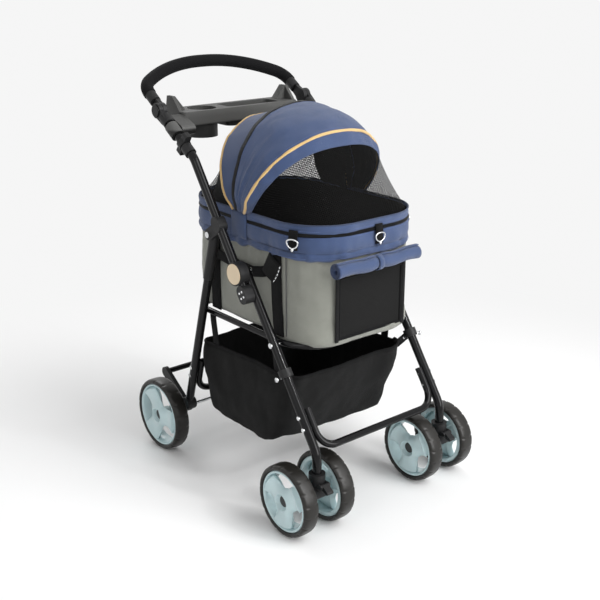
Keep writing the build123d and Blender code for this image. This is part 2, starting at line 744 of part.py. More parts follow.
with BuildPart() as rear_axle:
    axle_end = rear_wheel_x + tyre_width / 2 - rim_inset - hub_inset
    disc(-axle_end, axle_end, rear_axle_centre, rear_axle_od / 2)
finish(rear_axle, "rear_axle")

# Foot brake bar, turning on the axle
with BuildPart() as brake_pedal:
    brake_bar = (rear_axle_centre[0] + brake_reach, rear_axle_centre[1] + brake_rise)
    disc(-brake_half, brake_half, brake_bar, brake_bar_od / 2)
    for side in (1, -1):
        link(side * brake_half, side * (brake_half + brake_arm_width), rear_axle_centre, brake_boss_radius,
             brake_bar, brake_pad_radius)
        disc(side * brake_half, side * (brake_half + brake_arm_width), rear_axle_centre,
             rear_axle_od / 2 + running_clearance, Mode.SUBTRACT)
finish(brake_pedal, "brake_pedal")

# Seat loop that holds the carrier, and the basket under it
seat_front_y = seat_pivot[0] - seat_front
seat_rear_y = seat_rear_pivot[0] + seat_rear
with BuildPart() as seat_loop:
    with BuildLine(Plane.XY.offset(seat_z)) as loop:
        FilletPolyline((seat_bar_x, 0), (seat_bar_x, seat_rear_y), (-seat_bar_x, seat_rear_y),
                       (-seat_bar_x, seat_front_y), (seat_bar_x, seat_front_y), (seat_bar_x, 0),
                       radius=[0, seat_corner, seat_corner, seat_front_corner, seat_front_corner])
    with BuildSketch(Plane(origin=loop.line @ 0, z_dir=loop.line % 0)):
        Circle(seat_tube_od / 2)
        Circle(seat_tube_od / 2 - tube_wall, mode=Mode.SUBTRACT)
    sweep()
    disc(-leg_x, leg_x, seat_pivot, seat_bolt_radius + running_clearance, Mode.SUBTRACT)
finish(seat_loop, "seat_loop")

basket_top_z = basket_bottom_z + basket_height


def tub_plan(z, half, front, rear, inset):
    """The basket's rounded plan at a height, drawn in by a wall."""
    with BuildSketch(Plane.XY.offset(z)) as section:
        with Locations((0, front_axle_y + (front + rear) / 2)):
            RectangleRounded(2 * (half - inset), rear - front - 2 * inset, basket_corner - inset)
    return section.sketch


def tub(floor_z, inset, mode=Mode.ADD):
    """The basket's sloping tub from a floor height to the top edge."""
    floor = tub_plan(floor_z, basket_floor_half, basket_floor_front, basket_floor_rear, inset)
    loft([floor, tub_plan(basket_top_z, basket_half, basket_front, basket_rear, inset)], mode=mode)


with BuildPart() as basket:
    tub(basket_bottom_z, 0)
    hanger_top = seat_z - seat_tube_od / 2 - seat_gap
    for place in (basket_front + hanger_inset, basket_rear - hanger_inset):
        with BuildSketch(Plane.XZ.offset(-front_axle_y - place)):
            with BuildLine():
                Polyline((basket_half - 2 * basket_wall, basket_top_z - basket_wall),
                         (basket_half, basket_top_z - basket_wall), (seat_bar_x + basket_wall, hanger_top),
                         (seat_bar_x - basket_wall, hanger_top), close=True)
            make_face()
            mirror(about=Plane.YZ)
        extrude(amount=hanger_width / 2, both=True)
    tub(basket_bottom_z + basket_wall, basket_wall, Mode.SUBTRACT)
finish(basket, "basket")

# Carrier: fabric tub with a door opening, floor mat, rim band and rolled flap
body_top_z = rim_z - body_below_rim


def plan(z, grow):
    """The carrier's rounded plan at a height, grown outward."""
    with BuildSketch(Plane.XY.offset(z)) as section:
        with Locations((0, carrier_mid_y)):
            RectangleRounded(2 * (carrier_half + grow), carrier_length + 2 * grow, carrier_corner + grow)
    return section.sketch


door_bottom_z = carrier_bottom_z + door_sill
with BuildPart() as carrier_body:
    extrude(plan(carrier_bottom_z, 0), amount=body_top_z - carrier_bottom_z)
    extrude(plan(carrier_bottom_z + carrier_wall, -carrier_wall), amount=body_top_z, mode=Mode.SUBTRACT)
    with BuildSketch(Plane.XZ.offset(-carrier_y)):
        with Locations((0, door_bottom_z + door_height / 2)):
            Rectangle(2 * door_half, door_height)
    extrude(amount=carrier_wall * 2, both=True, mode=Mode.SUBTRACT)
finish(carrier_body, "carrier_body")

with BuildPart() as floor_mat:
    extrude(plan(carrier_bottom_z + carrier_wall, -carrier_wall - mat_gap), amount=mat_thickness)
    with BuildSketch(Plane.XZ.offset(-carrier_y)):
        with Locations((0, door_bottom_z + door_height / 2)):
            Rectangle(2 * door_half, door_height)
    extrude(amount=carrier_wall * 2, both=True, mode=Mode.SUBTRACT)
finish(floor_mat, "floor_mat")

with BuildPart() as rim_band:
    extrude(plan(rim_z - band_height, band_thickness), amount=band_height)
    extrude(plan(rim_z - band_height, 0), amount=band_height, mode=Mode.SUBTRACT)
finish(rim_band, "rim_band")

with BuildPart() as flap_roll:
    disc(-roll_half, roll_half, (carrier_y - roll_stand, roll_z), roll_radius)
finish(flap_roll, "flap_roll")

with BuildPart() as front_door:
    with BuildSketch(Plane.XZ.offset(-carrier_y)):
        with Locations((0, door_bottom_z + door_height / 2)):
            Rectangle(2 * (door_half - door_gap), door_height - 2 * door_gap)
    extrude(amount=-carrier_wall)
finish(front_door, "front_door")


# Canopy panels are arches turned about the pivot line across the carrier

def tilted(tilt):
    """The plane through the canopy's pivot line, tilted back from upright."""
    return Plane(origin=(0, *canopy_axis), x_dir=(1, 0, 0), z_dir=(0, -cos(radians(tilt)), sin(radians(tilt))))


def arch_path(inset):
    """The corner points of an arch, set in from the canopy's outer face."""
    half = canopy_half - inset
    top = canopy_height - inset
    return [(-half, 0), (-half, top), (half, top), (half, 0)]


def arch_panel(name, tilt_from, tilt_to):
    """A fabric panel of the canopy between two tilts."""
    with BuildPart() as panel:
        with BuildSketch(tilted(tilt_from)):
            for inset, how in ((0, Mode.ADD), (fabric, Mode.SUBTRACT)):
                with BuildLine():
                    points = arch_path(inset)
                    FilletPolyline(*points, radius=canopy_corner - inset)
                    Line(points[-1], points[0])
                make_face(mode=how)
        revolve(axis=Axis((0, *canopy_axis), (-1, 0, 0)), revolution_arc=tilt_to - tilt_from)
    finish(panel, name)


def bow(name, tilt, inset):
    """A sprung wire bow under the fabric."""
    plane = tilted(tilt)
    with BuildPart() as wire:
        points = [plane.from_local_coords((*point, 0)) for point in arch_path(inset)]
        swept_tube(points, canopy_corner - inset, bow_radius)
    finish(wire, name)


front_bow_inset = fabric + bow_gap + bow_radius
arch_panel("canopy_fabric", -canopy_front_tilt, canopy_rear_tilt)
arch_panel("front_mesh", -mesh_tilt, -canopy_front_tilt - panel_gap)
arch_panel("rear_mesh", canopy_rear_tilt + panel_gap, mesh_tilt)
bow("front_bow", -front_bow_tilt, front_bow_inset)
bow("rear_bow", rear_bow_tilt, front_bow_inset + rear_bow_inset)

# Snap hooks that hang on the rim band
hook_side_x = carrier_half + band_thickness + hook_stand
hook_front_y = carrier_y - band_thickness - hook_stand
hook_rear_y = carrier_y + carrier_length + band_thickness + hook_stand
hook_places = [((0, hook_front_y, hook_z), (1, 0, 0), (0, -1, 0)),
               ((0, hook_rear_y, hook_z), (-1, 0, 0), (0, 1, 0)),
               ((hook_side_x, carrier_y + carrier_corner, hook_z), (0, 1, 0), (1, 0, 0)),
               ((-hook_side_x, carrier_y + carrier_corner, hook_z), (0, -1, 0), (-1, 0, 0))]
with BuildPart() as snap_hooks:
    for spot, across_dir, out_dir in hook_places:
        with BuildSketch(Plane(origin=spot, x_dir=across_dir, z_dir=out_dir)):
            RectangleRounded(hook_width, hook_height, hook_width / 2 - hook_wire)
            RectangleRounded(hook_width - 2 * hook_wire, hook_height - 2 * hook_wire,
                             hook_width / 2 - 2 * hook_wire, mode=Mode.SUBTRACT)
        extrude(amount=hook_wire)
finish(snap_hooks, "snap_hooks")
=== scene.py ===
import json
import math

import bpy
import numpy as np
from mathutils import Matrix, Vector, noise


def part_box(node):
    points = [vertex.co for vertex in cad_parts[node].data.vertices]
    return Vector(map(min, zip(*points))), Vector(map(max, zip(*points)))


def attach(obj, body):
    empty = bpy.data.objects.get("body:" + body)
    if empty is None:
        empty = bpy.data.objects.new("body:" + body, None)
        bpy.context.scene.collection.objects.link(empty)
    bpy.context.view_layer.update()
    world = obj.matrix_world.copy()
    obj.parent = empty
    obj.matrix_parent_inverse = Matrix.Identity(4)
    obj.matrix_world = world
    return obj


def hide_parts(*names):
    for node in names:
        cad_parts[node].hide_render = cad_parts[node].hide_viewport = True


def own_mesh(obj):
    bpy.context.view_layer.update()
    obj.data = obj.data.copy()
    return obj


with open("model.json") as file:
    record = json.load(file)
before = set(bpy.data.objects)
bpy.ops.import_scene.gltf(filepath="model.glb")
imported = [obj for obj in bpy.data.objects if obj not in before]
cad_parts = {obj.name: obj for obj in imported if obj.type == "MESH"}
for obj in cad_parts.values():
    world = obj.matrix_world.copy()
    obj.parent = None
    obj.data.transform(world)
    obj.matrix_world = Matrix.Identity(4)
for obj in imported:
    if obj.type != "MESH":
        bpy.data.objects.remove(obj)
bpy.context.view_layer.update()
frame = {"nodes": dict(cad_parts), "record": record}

MM = 0.001
FRONT_AXLE_Y = sum(corner.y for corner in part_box("left_outer_front_tyre")) / 2
SEAT_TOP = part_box("carrier_body")[0].z
RIM_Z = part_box("rim_band")[1].z
RIM, BASE = RIM_Z / MM, SEAT_TOP / MM
UP = np.array([0, 0, 1.0])
TINY = 1e-12


# Mesh building

def place(points):
    """Points in millimetres, y counted back from the front axle, as an array in the frame's metres."""
    p = np.asarray(points, float) * MM
    p[..., 1] += FRONT_AXLE_Y
    return p


def run_of(path):
    """The length along a path at each of its points."""
    return np.r_[0, np.cumsum(np.linalg.norm(np.diff(path, axis=0), axis=1))]


def unit(vectors):
    """Vectors of length one, along the last axis."""
    return vectors / np.maximum(np.linalg.norm(vectors, axis=-1, keepdims=True), TINY)


def round_turn(count):
    """Evenly spaced angles of one full turn."""
    return np.linspace(0, 2 * math.pi, count, endpoint=False)


def add_object(name, verts, faces, uv=None):
    """A smooth mesh object from vertices and faces, with one uv pair per vertex."""
    mesh = bpy.data.meshes.new(name)
    mesh.from_pydata([tuple(v) for v in verts], [], [tuple(int(i) for i in f) for f in faces])
    if uv is not None:
        layer = mesh.uv_layers.new(name="uv")
        index = np.zeros(len(mesh.loops), int)
        mesh.loops.foreach_get("vertex_index", index)
        layer.data.foreach_set("uv", np.asarray(uv, np.float32)[index].ravel())
    mesh.polygons.foreach_set("use_smooth", [True] * len(mesh.polygons))
    mesh.update()
    obj = bpy.data.objects.new(name, mesh)
    bpy.context.scene.collection.objects.link(obj)
    return obj


def quads(rows, cols, wrap=False, closed=False):
    """Faces of a grid; wrap joins its last column to the first, closed its last row to the first."""
    faces = []
    for r in range(rows if closed else rows - 1):
        s = (r + 1) % rows
        for c in range(cols if wrap else cols - 1):
            d = (c + 1) % cols
            faces.append((r * cols + c, r * cols + d, s * cols + d, s * cols + c))
    return faces


def end_rows(rows, cols):
    """The vertices of a grid's first row and of its last."""
    return tuple(range(cols)), tuple(range((rows - 1) * cols, rows * cols))


def surface(name, pts, wrap=False, flip=False, caps=False):
    """A sheet of quads through a grid of points, with uv in metres along the cloth."""
    pts = np.asarray(pts, float)
    rows, cols = pts.shape[:2]
    across = np.zeros((rows, cols))
    across[:, 1:] = np.cumsum(np.linalg.norm(np.diff(pts, axis=1), axis=2), axis=1)
    across -= across.mean(axis=1, keepdims=True)
    down = np.zeros((rows, cols))
    down[1:] = np.cumsum(np.linalg.norm(np.diff(pts, axis=0), axis=2), axis=0)
    uv = np.stack([across, down], axis=2).reshape(-1, 2)
    faces = quads(rows, cols, wrap)
    if caps:
        first, last = end_rows(rows, cols)
        faces += [first[::-1], last]
    if flip:
        faces = [f[::-1] for f in faces]
    return add_object(name, pts.reshape(-1, 3), faces, uv)


def frames_along(path, closed):
    """Unit tangents and a steady pair of normals along a path."""
    path = np.asarray(path, float)
    ahead = np.roll(path, -1, axis=0) - np.roll(path, 1, axis=0)
    if not closed:
        ahead[0] = path[1] - path[0]
        ahead[-1] = path[-1] - path[-2]
    tangent = unit(ahead)
    steep = abs(tangent[0][2]) >= 0.9
    start = np.array([1.0, 0, 0]) if steep else UP
    normal = []
    for t in tangent:
        start = unit(start - t * (start @ t))
        normal.append(start)
    normal = np.array(normal)
    return tangent, normal, np.cross(tangent, normal)


def tube(name, path, radius, sides, closed=False):
    """A round bar along a path of points; radius is one number or one per point."""
    path = np.asarray(path, float)
    _, a, b = frames_along(path, closed)
    count = len(path)
    size = np.broadcast_to(np.asarray(radius, float), (count,))
    turn = round_turn(sides)
    ring = a[:, None] * np.cos(turn)[None, :, None] + b[:, None] * np.sin(turn)[None, :, None]
    pts = path[:, None] + ring * size[:, None, None]
    faces = quads(count, sides, wrap=True, closed=closed)
    if not closed:
        first, last = end_rows(count, sides)
        faces += [first[::-1], last]
    uv = np.stack(np.broadcast_arrays(turn * size[:, None], run_of(path)[:, None]), axis=2)
    return add_object(name, pts.reshape(-1, 3), faces, uv.reshape(-1, 2))


def ribbon(name, path, outward, width, thickness):
    """A flat strap with soft edges along a path; outward is its face direction, one or one per point."""
    path = np.asarray(path, float)
    tangent, _, _ = frames_along(path, False)
    face = np.broadcast_to(np.asarray(outward, float), path.shape)
    face = unit(face - tangent * np.sum(face * tangent, axis=1, keepdims=True))
    side = np.cross(tangent, face)
    half, flat = width / 2, width / 2 * 0.94
    section = [(-half, 0.2), (-flat, 1), (0, 1), (flat, 1), (half, 0.2), (flat, -0.1), (-flat, -0.1)]
    pts = np.array([[p + s * x + f * (thickness * h) for x, h in section]
                    for p, s, f in zip(path, side, face)])
    count, sides = pts.shape[:2]
    first, last = end_rows(count, sides)
    faces = [first, last[::-1]]
    faces += [(b, a, d, c) for a, b, c, d in quads(count, sides, wrap=True)]
    uv = np.array([[(x, along) for x, _ in section] for along in run_of(path)]).reshape(-1, 2)
    return add_object(name, pts.reshape(-1, 3), faces, uv)


def stitches(name, path, outward, length=0.0026, pitch=0.0042, size=0.0005):
    """A run of short thread stitches along a path, standing just proud of the cloth."""
    path = np.asarray(path, float)
    face = np.broadcast_to(np.asarray(outward, float), path.shape)
    run = run_of(path)
    starts = np.arange(0, run[-1] - length, pitch)
    at = starts[:, None] + length * np.array([0, 0.5, 1])
    spot, out = (np.stack([np.interp(at, run, of[:, i]) for i in range(3)], axis=2) for of in (path, face))
    out = unit(out)
    side = np.cross(unit(spot[:, 2:] - spot[:, :1]), out) * size
    lift = out * size * 1.6 * np.array([0.1, 1.0, 0.1])[:, None]
    verts = np.stack([spot + side, spot + lift, spot - side], axis=2).reshape(-1, 3)
    faces = [[9 * k + i for i in q] for k in range(len(starts)) for q in quads(3, 3)]
    return add_object(name, verts, faces, np.zeros((len(verts), 2)))


def lathe(name, profile, centre, steps):
    """A shape turned about an X axis through centre; profile is (x, radius) points in metres."""
    profile = np.asarray(profile, float)
    turn = round_turn(steps)
    x = np.broadcast_to(profile[:, 0][:, None], (len(profile), steps))
    r = np.broadcast_to(profile[:, 1][:, None], (len(profile), steps))
    pts = np.stack([x, r * np.cos(turn), r * np.sin(turn)], axis=2) + np.asarray(centre)
    return surface(name, pts, wrap=True)


def modifier(obj, kind, name, **values):
    """A modifier with its settings."""
    m = obj.modifiers.new(name, kind)
    for key, value in values.items():
        setattr(m, key, value)
    return obj


def thick(obj, thickness, offset=0.0):
    return modifier(obj, "SOLIDIFY", "thickness", thickness=thickness, offset=offset)


def smooth_more(obj):
    return modifier(obj, "SUBSURF", "smooth", levels=1, render_levels=1)


def wrinkle(pts, normals, size, depth, seed):
    """Moves a grid of points along normals by smooth noise."""
    out = np.array(pts, float)
    flat = out.reshape(-1, 3)
    along = np.asarray(normals, float).reshape(-1, 3)
    offset = Vector((seed, seed * 0.37, -seed))
    for i, p in enumerate(flat):
        flat[i] = p + along[i] * depth * noise.fractal(Vector(p) / size + offset, 1.0, 2.0, 3)
    return out


def puckers(pts, normals, weight, spacing, depth, seed, axis=1):
    """Ripples a grid along one of its axes, as gathered cloth does; weight has one share per point."""
    steps = np.linalg.norm(np.diff(pts, axis=axis), axis=2).mean(axis=1 - axis)
    run = np.r_[0, np.cumsum(steps)] / spacing
    wave = np.array([noise.noise(Vector((r, seed, seed * 0.61))) for r in run])
    wave = wave[None, :] if axis == 1 else wave[:, None]
    return pts + normals * (depth * wave * weight)[..., None]


def grid_normals(pts, wrap=False):
    """Unit normals of a grid of points."""
    pts = np.asarray(pts, float)
    du = np.roll(pts, -1, axis=1) - np.roll(pts, 1, axis=1) if wrap else np.gradient(pts, axis=1)
    dv = np.gradient(pts, axis=0)
    return unit(np.cross(du, dv))


def settled(obj):
    """The mesh of an object with its modifiers worked in."""
    shape = bpy.data.meshes.new_from_object(obj.evaluated_get(bpy.context.evaluated_depsgraph_get()))
    obj.modifiers.clear()
    obj.data = shape
    return shape


def coords(mesh):
    """The places of a mesh's vertices."""
    flat = np.zeros(len(mesh.vertices) * 3, np.float32)
    mesh.vertices.foreach_get("co", flat)
    return flat.reshape(-1, 3)


def puff(obj, pressure, most, voxel, frames):
    """Blows a pad up by a cloth simulation, no point moving further than most."""
    modifier(obj, "REMESH", "remesh", mode="VOXEL", voxel_size=voxel)
    start = coords(settled(obj))
    cloth = obj.modifiers.new("cloth", "CLOTH")
    cloth.settings.use_pressure = True
    cloth.settings.uniform_pressure_force = pressure
    cloth.settings.effector_weights.gravity = 0
    for step in range(1, frames + 1):
        bpy.context.scene.frame_set(step)
    swollen = settled(obj)
    moved = coords(swollen) - start
    far = np.linalg.norm(moved, axis=1, keepdims=True)
    kept = start + moved * np.minimum(1, most / np.maximum(far, TINY))
    swollen.vertices.foreach_set("co", kept.ravel())
    swollen.polygons.foreach_set("use_smooth", [True] * len(swollen.polygons))
    swollen.update()
    bpy.context.scene.frame_set(1)
    return smooth_more(obj)


# Materials

MIX_FACTOR, MIX_FIRST, MIX_SECOND, MIX_RESULT = 0, 6, 7, 2
COAT_ROUGH, SHEEN_ROUGH = 0.12, 0.5
GRAIN_DEPTH, NET_DEPTH = 0.0006, 0.0005
WORN_FROM, WORN_TO = 0.53, 0.62
# Darkening below a height, how sharp and how dark: partly black plastic, partly painted shade under the tray
TONE_EDGE, SHADE_AND_BLACK_SHARE = 0.002, 0.16
WEFT_SHADE = 0.35
NET_EDGE = 0.06
THREAD_WAVE = {"Distortion": 0.6, "Detail": 1.0, "Detail Scale": 3.0}


def node(tree, kind, **values):
    """A shader node with its sockets and settings."""
    n = tree.nodes.new(kind)
    for key, value in values.items():
        if key in n.inputs:
            n.inputs[key].default_value = value
        else:
            setattr(n, key, value)
    return n


def maths(tree, operation, first, second):
    n = node(tree, "ShaderNodeMath", operation=operation)
    tree.links.new(first, n.inputs[0])
    tree.links.new(second, n.inputs[1])
    return n.outputs[0]


def ranged(tree, value, start=0.0, end=1.0, low=0.0, high=1.0, **settings):
    """A value carried from the range start to end over to the range low to high."""
    limits = {"From Min": start, "From Max": end, "To Min": low, "To Max": high}
    n = node(tree, "ShaderNodeMapRange", **limits, **settings)
    tree.links.new(value, n.inputs["Value"])
    return n.outputs["Result"]


def mixed(tree, factor, first, second, blend_type="MIX"):
    """A mix of two colours; each of the three is a socket or a plain value."""
    n = node(tree, "ShaderNodeMix", data_type="RGBA", blend_type=blend_type)
    for index, source in ((MIX_FACTOR, factor), (MIX_FIRST, first), (MIX_SECOND, second)):
        if isinstance(source, bpy.types.NodeSocket):
            tree.links.new(source, n.inputs[index])
        else:
            n.inputs[index].default_value = source
    return n.outputs[MIX_RESULT]


def rgba(channels):
    return (*[min(1, c) for c in channels], 1)


def base_material(name, colour, rough, metallic=0.0, coat=0.0, sheen=0.0, specular=0.5):
    mat = bpy.data.materials.new(name)
    mat.use_nodes = True
    shader = mat.node_tree.nodes["Principled BSDF"]
    values = {"Base Color": (*colour, 1), "Roughness": rough, "Metallic": metallic, "Coat Weight": coat,
              "Coat Roughness": COAT_ROUGH, "Sheen Weight": sheen, "Sheen Roughness": SHEEN_ROUGH,
              "Specular IOR Level": specular}
    for socket, value in values.items():
        shader.inputs[socket].default_value = value
    return mat, mat.node_tree, shader


def speckle(tree, spot, scale, detail):
    n = node(tree, "ShaderNodeTexNoise", Scale=scale, Detail=detail)
    tree.links.new(spot, n.inputs["Vector"])
    return n.outputs["Fac"]


def mottled(tree, spot, colour, spread, scale):
    """Colour that varies a little over the surface."""
    dark, light = (rgba(c * share for c in colour) for share in (1 - spread, 1 + spread))
    return mixed(tree, speckle(tree, spot, scale, 4.0), dark, light)


def bump(tree, shader, height, strength, distance):
    b = node(tree, "ShaderNodeBump", Strength=strength, Distance=distance)
    tree.links.new(height, b.inputs["Height"])
    tree.links.new(b.outputs["Normal"], shader.inputs["Normal"])


def grained(name, colour, rough, grain, strength, spread=0.12, wear=0.0, shade_and_black_below=None, **kw):
    """Moulded, painted or foam surfaces: fine grain in object space and a slow change of colour."""
    mat, tree, shader = base_material(name, colour, rough, **kw)
    spot = node(tree, "ShaderNodeTexCoord").outputs["Object"]
    tone = mottled(tree, spot, colour, spread, 18.0)
    fine = speckle(tree, spot, grain, 3.0)
    bump(tree, shader, fine, strength, GRAIN_DEPTH)
    uneven = ranged(tree, fine, low=max(0.02, rough - 0.07), high=min(1.0, rough + 0.09))
    tree.links.new(uneven, shader.inputs["Roughness"])
    if wear:
        edge = node(tree, "ShaderNodeNewGeometry").outputs["Pointiness"]
        worn = ranged(tree, edge, WORN_FROM, WORN_TO, high=wear)
        tone = mixed(tree, worn, tone, rgba(c * 2.2 + 0.05 for c in colour))
    # Below a height the colour goes near black: partly the cups' own black plastic, partly painted shade
    # under the tray's slab
    if shade_and_black_below:
        axes = node(tree, "ShaderNodeSeparateXYZ")
        tree.links.new(spot, axes.inputs[0])
        level = ranged(tree, axes.outputs["Z"], shade_and_black_below - TONE_EDGE, shade_and_black_below + TONE_EDGE)
        tone = mixed(tree, level, rgba(c * SHADE_AND_BLACK_SHARE for c in colour), tone)
    tree.links.new(tone, shader.inputs["Base Color"])
    return mat


def bands(tree, spot, pitch, direction, **values):
    """A band pattern across the cloth, one band per thread."""
    wave = node(tree, "ShaderNodeTexWave", Scale=math.pi / (10 * pitch), wave_type="BANDS",
                bands_direction=direction, **values)
    tree.links.new(spot, wave.inputs["Vector"])
    return wave.outputs["Fac"]


def woven(name, colour, pitch, strength=0.55, spread=0.16, rough=0.86, sheen=0.25, rib=0.0, specular=0.25):
    """Cloth with warp and weft threads in uv, and a slow change of tone."""
    mat, tree, shader = base_material(name, colour, rough, sheen=sheen, specular=specular)
    spot = node(tree, "ShaderNodeTexCoord").outputs["UV"]
    tone = mottled(tree, spot, colour, spread, 26.0)
    warp = bands(tree, spot, pitch, "X", **THREAD_WAVE)
    weft = bands(tree, spot, pitch * (1.0 + rib), "Y", **THREAD_WAVE)
    bump(tree, shader, maths(tree, "ADD", warp, weft), strength, GRAIN_DEPTH)
    tone = mixed(tree, WEFT_SHADE, tone, weft, "MULTIPLY")
    tree.links.new(tone, shader.inputs["Base Color"])
    return mat


def netting(name, colour, pitch, thread_share, turn):
    """Open mesh cloth: crossing threads with holes between them."""
    mat, tree, shader = base_material(name, colour, 0.8, specular=0.1)
    turned = node(tree, "ShaderNodeMapping", Rotation=(0, 0, math.radians(turn)))
    tree.links.new(node(tree, "ShaderNodeTexCoord").outputs["UV"], turned.inputs["Vector"])
    both = maths(tree, "MAXIMUM", *(bands(tree, turned.outputs[0], pitch, way) for way in "XY"))
    solid = ranged(tree, both, thread_share - NET_EDGE, thread_share + NET_EDGE)
    tree.links.new(solid, shader.inputs["Alpha"])
    bump(tree, shader, both, 0.4, NET_DEPTH)
    return mat


BLUE = (0.055, 0.089, 0.197)
GRAY = (0.300, 0.306, 0.268)
frame_black = grained("frame_black", (0.005, 0.005, 0.0055), 0.11, 900.0, 0.05,
                      coat=0.1, specular=0.16, wear=0.06)
black_plastic = grained("black_plastic", (0.009, 0.009, 0.0095), 0.42, 1400.0, 0.25, specular=0.22, wear=0.12)
# The cups under the slab are darkened: their own black plastic and painted shade
tray_gray = grained("tray_gray", (0.062, 0.062, 0.060), 0.5, 1500.0, 0.4,
                    specular=0.3, wear=0.2, shade_and_black_below=0.802)
foam_black = grained("foam_black", (0.006, 0.006, 0.0065), 0.85, 700.0, 0.7, specular=0.12)
badge_cream = grained("badge_cream", (0.74, 0.60, 0.42), 0.45, 1100.0, 0.15)
rim_ice = grained("rim_ice", (0.50, 0.64, 0.66), 0.3, 900.0, 0.08, coat=0.3)
tyre_rubber = grained("tyre_rubber", (0.013, 0.012, 0.0105), 0.33, 800.0, 0.18, specular=0.3, wear=0.2)
bright_steel = grained("bright_steel", (0.68, 0.69, 0.70), 0.22, 700.0, 0.08, metallic=1.0, spread=0.05)
# Painted shade: near black for the dark hole in the middle of each wheel hub
hub_bore_shade = grained("hub_bore_shade", (0.030, 0.031, 0.032), 0.4, 1200.0, 0.2, specular=0.3)
thread = grained("thread", (0.05, 0.05, 0.055), 0.8, 900.0, 0.2)
thread_blue = grained("thread_blue", (0.10, 0.15, 0.33), 0.8, 900.0, 0.2)
blue_cloth = woven("blue_cloth", BLUE, 0.0011, rib=0.9)
blue_dark = woven("blue_dark", tuple(c * 0.62 for c in BLUE), 0.0011, rib=0.9)
gray_cloth = woven("gray_cloth", GRAY, 0.0010)
black_cloth = woven("black_cloth", (0.0105, 0.0105, 0.0106), 0.0012, sheen=0.04, specular=0.1)
lining_black = woven("lining_black", (0.009, 0.009, 0.009), 0.0012, sheen=0.0, specular=0.05)
webbing = woven("webbing", (0.007, 0.007, 0.0075), 0.0016, strength=0.9, sheen=0.03, rib=1.2, specular=0.12)
piping_gold = woven("piping_gold", (0.88, 0.58, 0.23), 0.0009, spread=0.08, sheen=0.4)
mat_cloth = woven("mat_cloth", (0.016, 0.016, 0.016), 0.0014, sheen=0.05, specular=0.1)
zip_black = woven("zip_black", (0.006, 0.006, 0.0065), 0.0016,
                  strength=1.0, sheen=0.0, rough=0.5, specular=0.2)
net_black = netting("net_black", (0.006, 0.006, 0.006), 0.0042, 0.78, turn=45.0)
door_net = netting("door_net", (0.011, 0.011, 0.011), 0.0030, 0.12, turn=0.0)

# Each slot's materials, the CAD solids' own one first
SLOT_LOOKS = {
    "frame_black": [frame_black], "bright_steel": [bright_steel], "black_plastic": [black_plastic, hub_bore_shade],
    "tray_gray": [tray_gray], "badge_cream": [badge_cream], "foam": [foam_black], "rim_ice": [rim_ice],
    "tyre_black": [tyre_rubber], "fabric_blue": [blue_cloth, blue_dark, piping_gold, thread_blue],
    "fabric_gray": [gray_cloth, thread],
    "mesh_black": [black_cloth, lining_black, webbing, zip_black, net_black, door_net], "mat": [mat_cloth]}


def dress(obj, mat):
    """Gives a piece its material."""
    obj.data.materials.clear()
    obj.data.materials.append(mat)


def hard(obj, body, mat, *stands_for):
    """A rigid piece on a body."""
    dress(obj, mat)
    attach(obj, body)
    if stands_for:
        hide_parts(*stands_for)
    return obj


def soft(obj, mat, *stands_for, body="carrier", anchor=SEAT_TOP):
    """A fabric piece that rides on a body, with a mesh of its own."""
    hard(obj, body, mat, *stands_for)
    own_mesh(obj)
    return obj


def sheet(name, pts, mat, under, *stands_for, held="stretched", thickness=0.0, flip=False, body="carrier"):
    """A piece of cloth through a grid of points, thickened when a thickness is given."""
    pts = np.asarray(pts, float)
    obj = surface(name, pts, flip=flip)
    if thickness:
        thick(obj, thickness)
    soft(obj, mat, *stands_for, body=body)


for part in frame["record"]["subparts"]:
    dress(frame["nodes"][part["node"]], SLOT_LOOKS[part["material_slot"]][0])


# Carrier outline and canopy arches, in millimetres

ARCH_POINTS, MESH_ROWS = 65, 25
BODY_FRONT, BODY_REAR, BODY_HALF, BODY_CORNER = 14.0, 474.0, 160.0, 100.0
PLAN_MIDDLE, PLAN_POINTS = 244, 160


def rounded_outline(half, front, rear, corner, count):
    """Points round a rounded rectangle in plan, from the middle of the rear."""
    straight_y = rear - front - 2 * corner
    straight_x = 2 * (half - corner)
    bend = math.pi * corner / 2
    half_way = [straight_x / 2, bend, straight_y, bend, straight_x / 2]
    ends = np.cumsum(half_way[:-1] + [straight_x] + half_way[-2::-1])
    out = []
    for s in np.linspace(0, ends[-1], count, endpoint=False):
        k = int(np.searchsorted(ends, s, side="right"))
        d = s - (ends[k - 1] if k else 0)
        a = d / corner
        xi, yf, yr = half - corner, front + corner, rear - corner
        out.append([(d, rear), (xi + corner * math.sin(a), yr + corner * math.cos(a)), (half, yr - d),
                    (xi + corner * math.cos(a), yf - corner * math.sin(a)), (xi - d, front),
                    (-xi - corner * math.sin(a), yf - corner * math.cos(a)), (-half, yf + d),
                    (-xi - corner * math.cos(a), yr + corner * math.sin(a)), (-xi + d, rear)][k])
    return np.array(out)


def inset_outline(inset, count):
    """The body's outline drawn in by a distance, or let out by a negative one."""
    half, corner = BODY_HALF - inset, BODY_CORNER - inset
    return rounded_outline(half, BODY_FRONT + inset, BODY_REAR - inset, corner, count)


def outward_of(outline):
    """Unit outward normals of a closed plan outline that runs clockwise from above."""
    t = np.roll(outline, -1, axis=0) - np.roll(outline, 1, axis=0)
    n = unit(np.stack([-t[:, 1], t[:, 0]], axis=1))
    middle = outline.mean(axis=0)
    return n if np.sum(n * (outline - middle)) > 0 else -n


def ring_wall(outline, profile):
    """A wall round an outline: profile is (outward offset, z) rows, top first."""
    out = outward_of(outline)
    return np.array([np.c_[outline + out * offset, np.full(len(outline), z)] for offset, z in profile])


def shrunk(outline, middle_y, share, z):
    """An outline drawn in towards its middle, at a height or at one height per point."""
    return np.c_[(outline - [0, middle_y]) * share + [0, middle_y], np.broadcast_to(z, len(outline))]


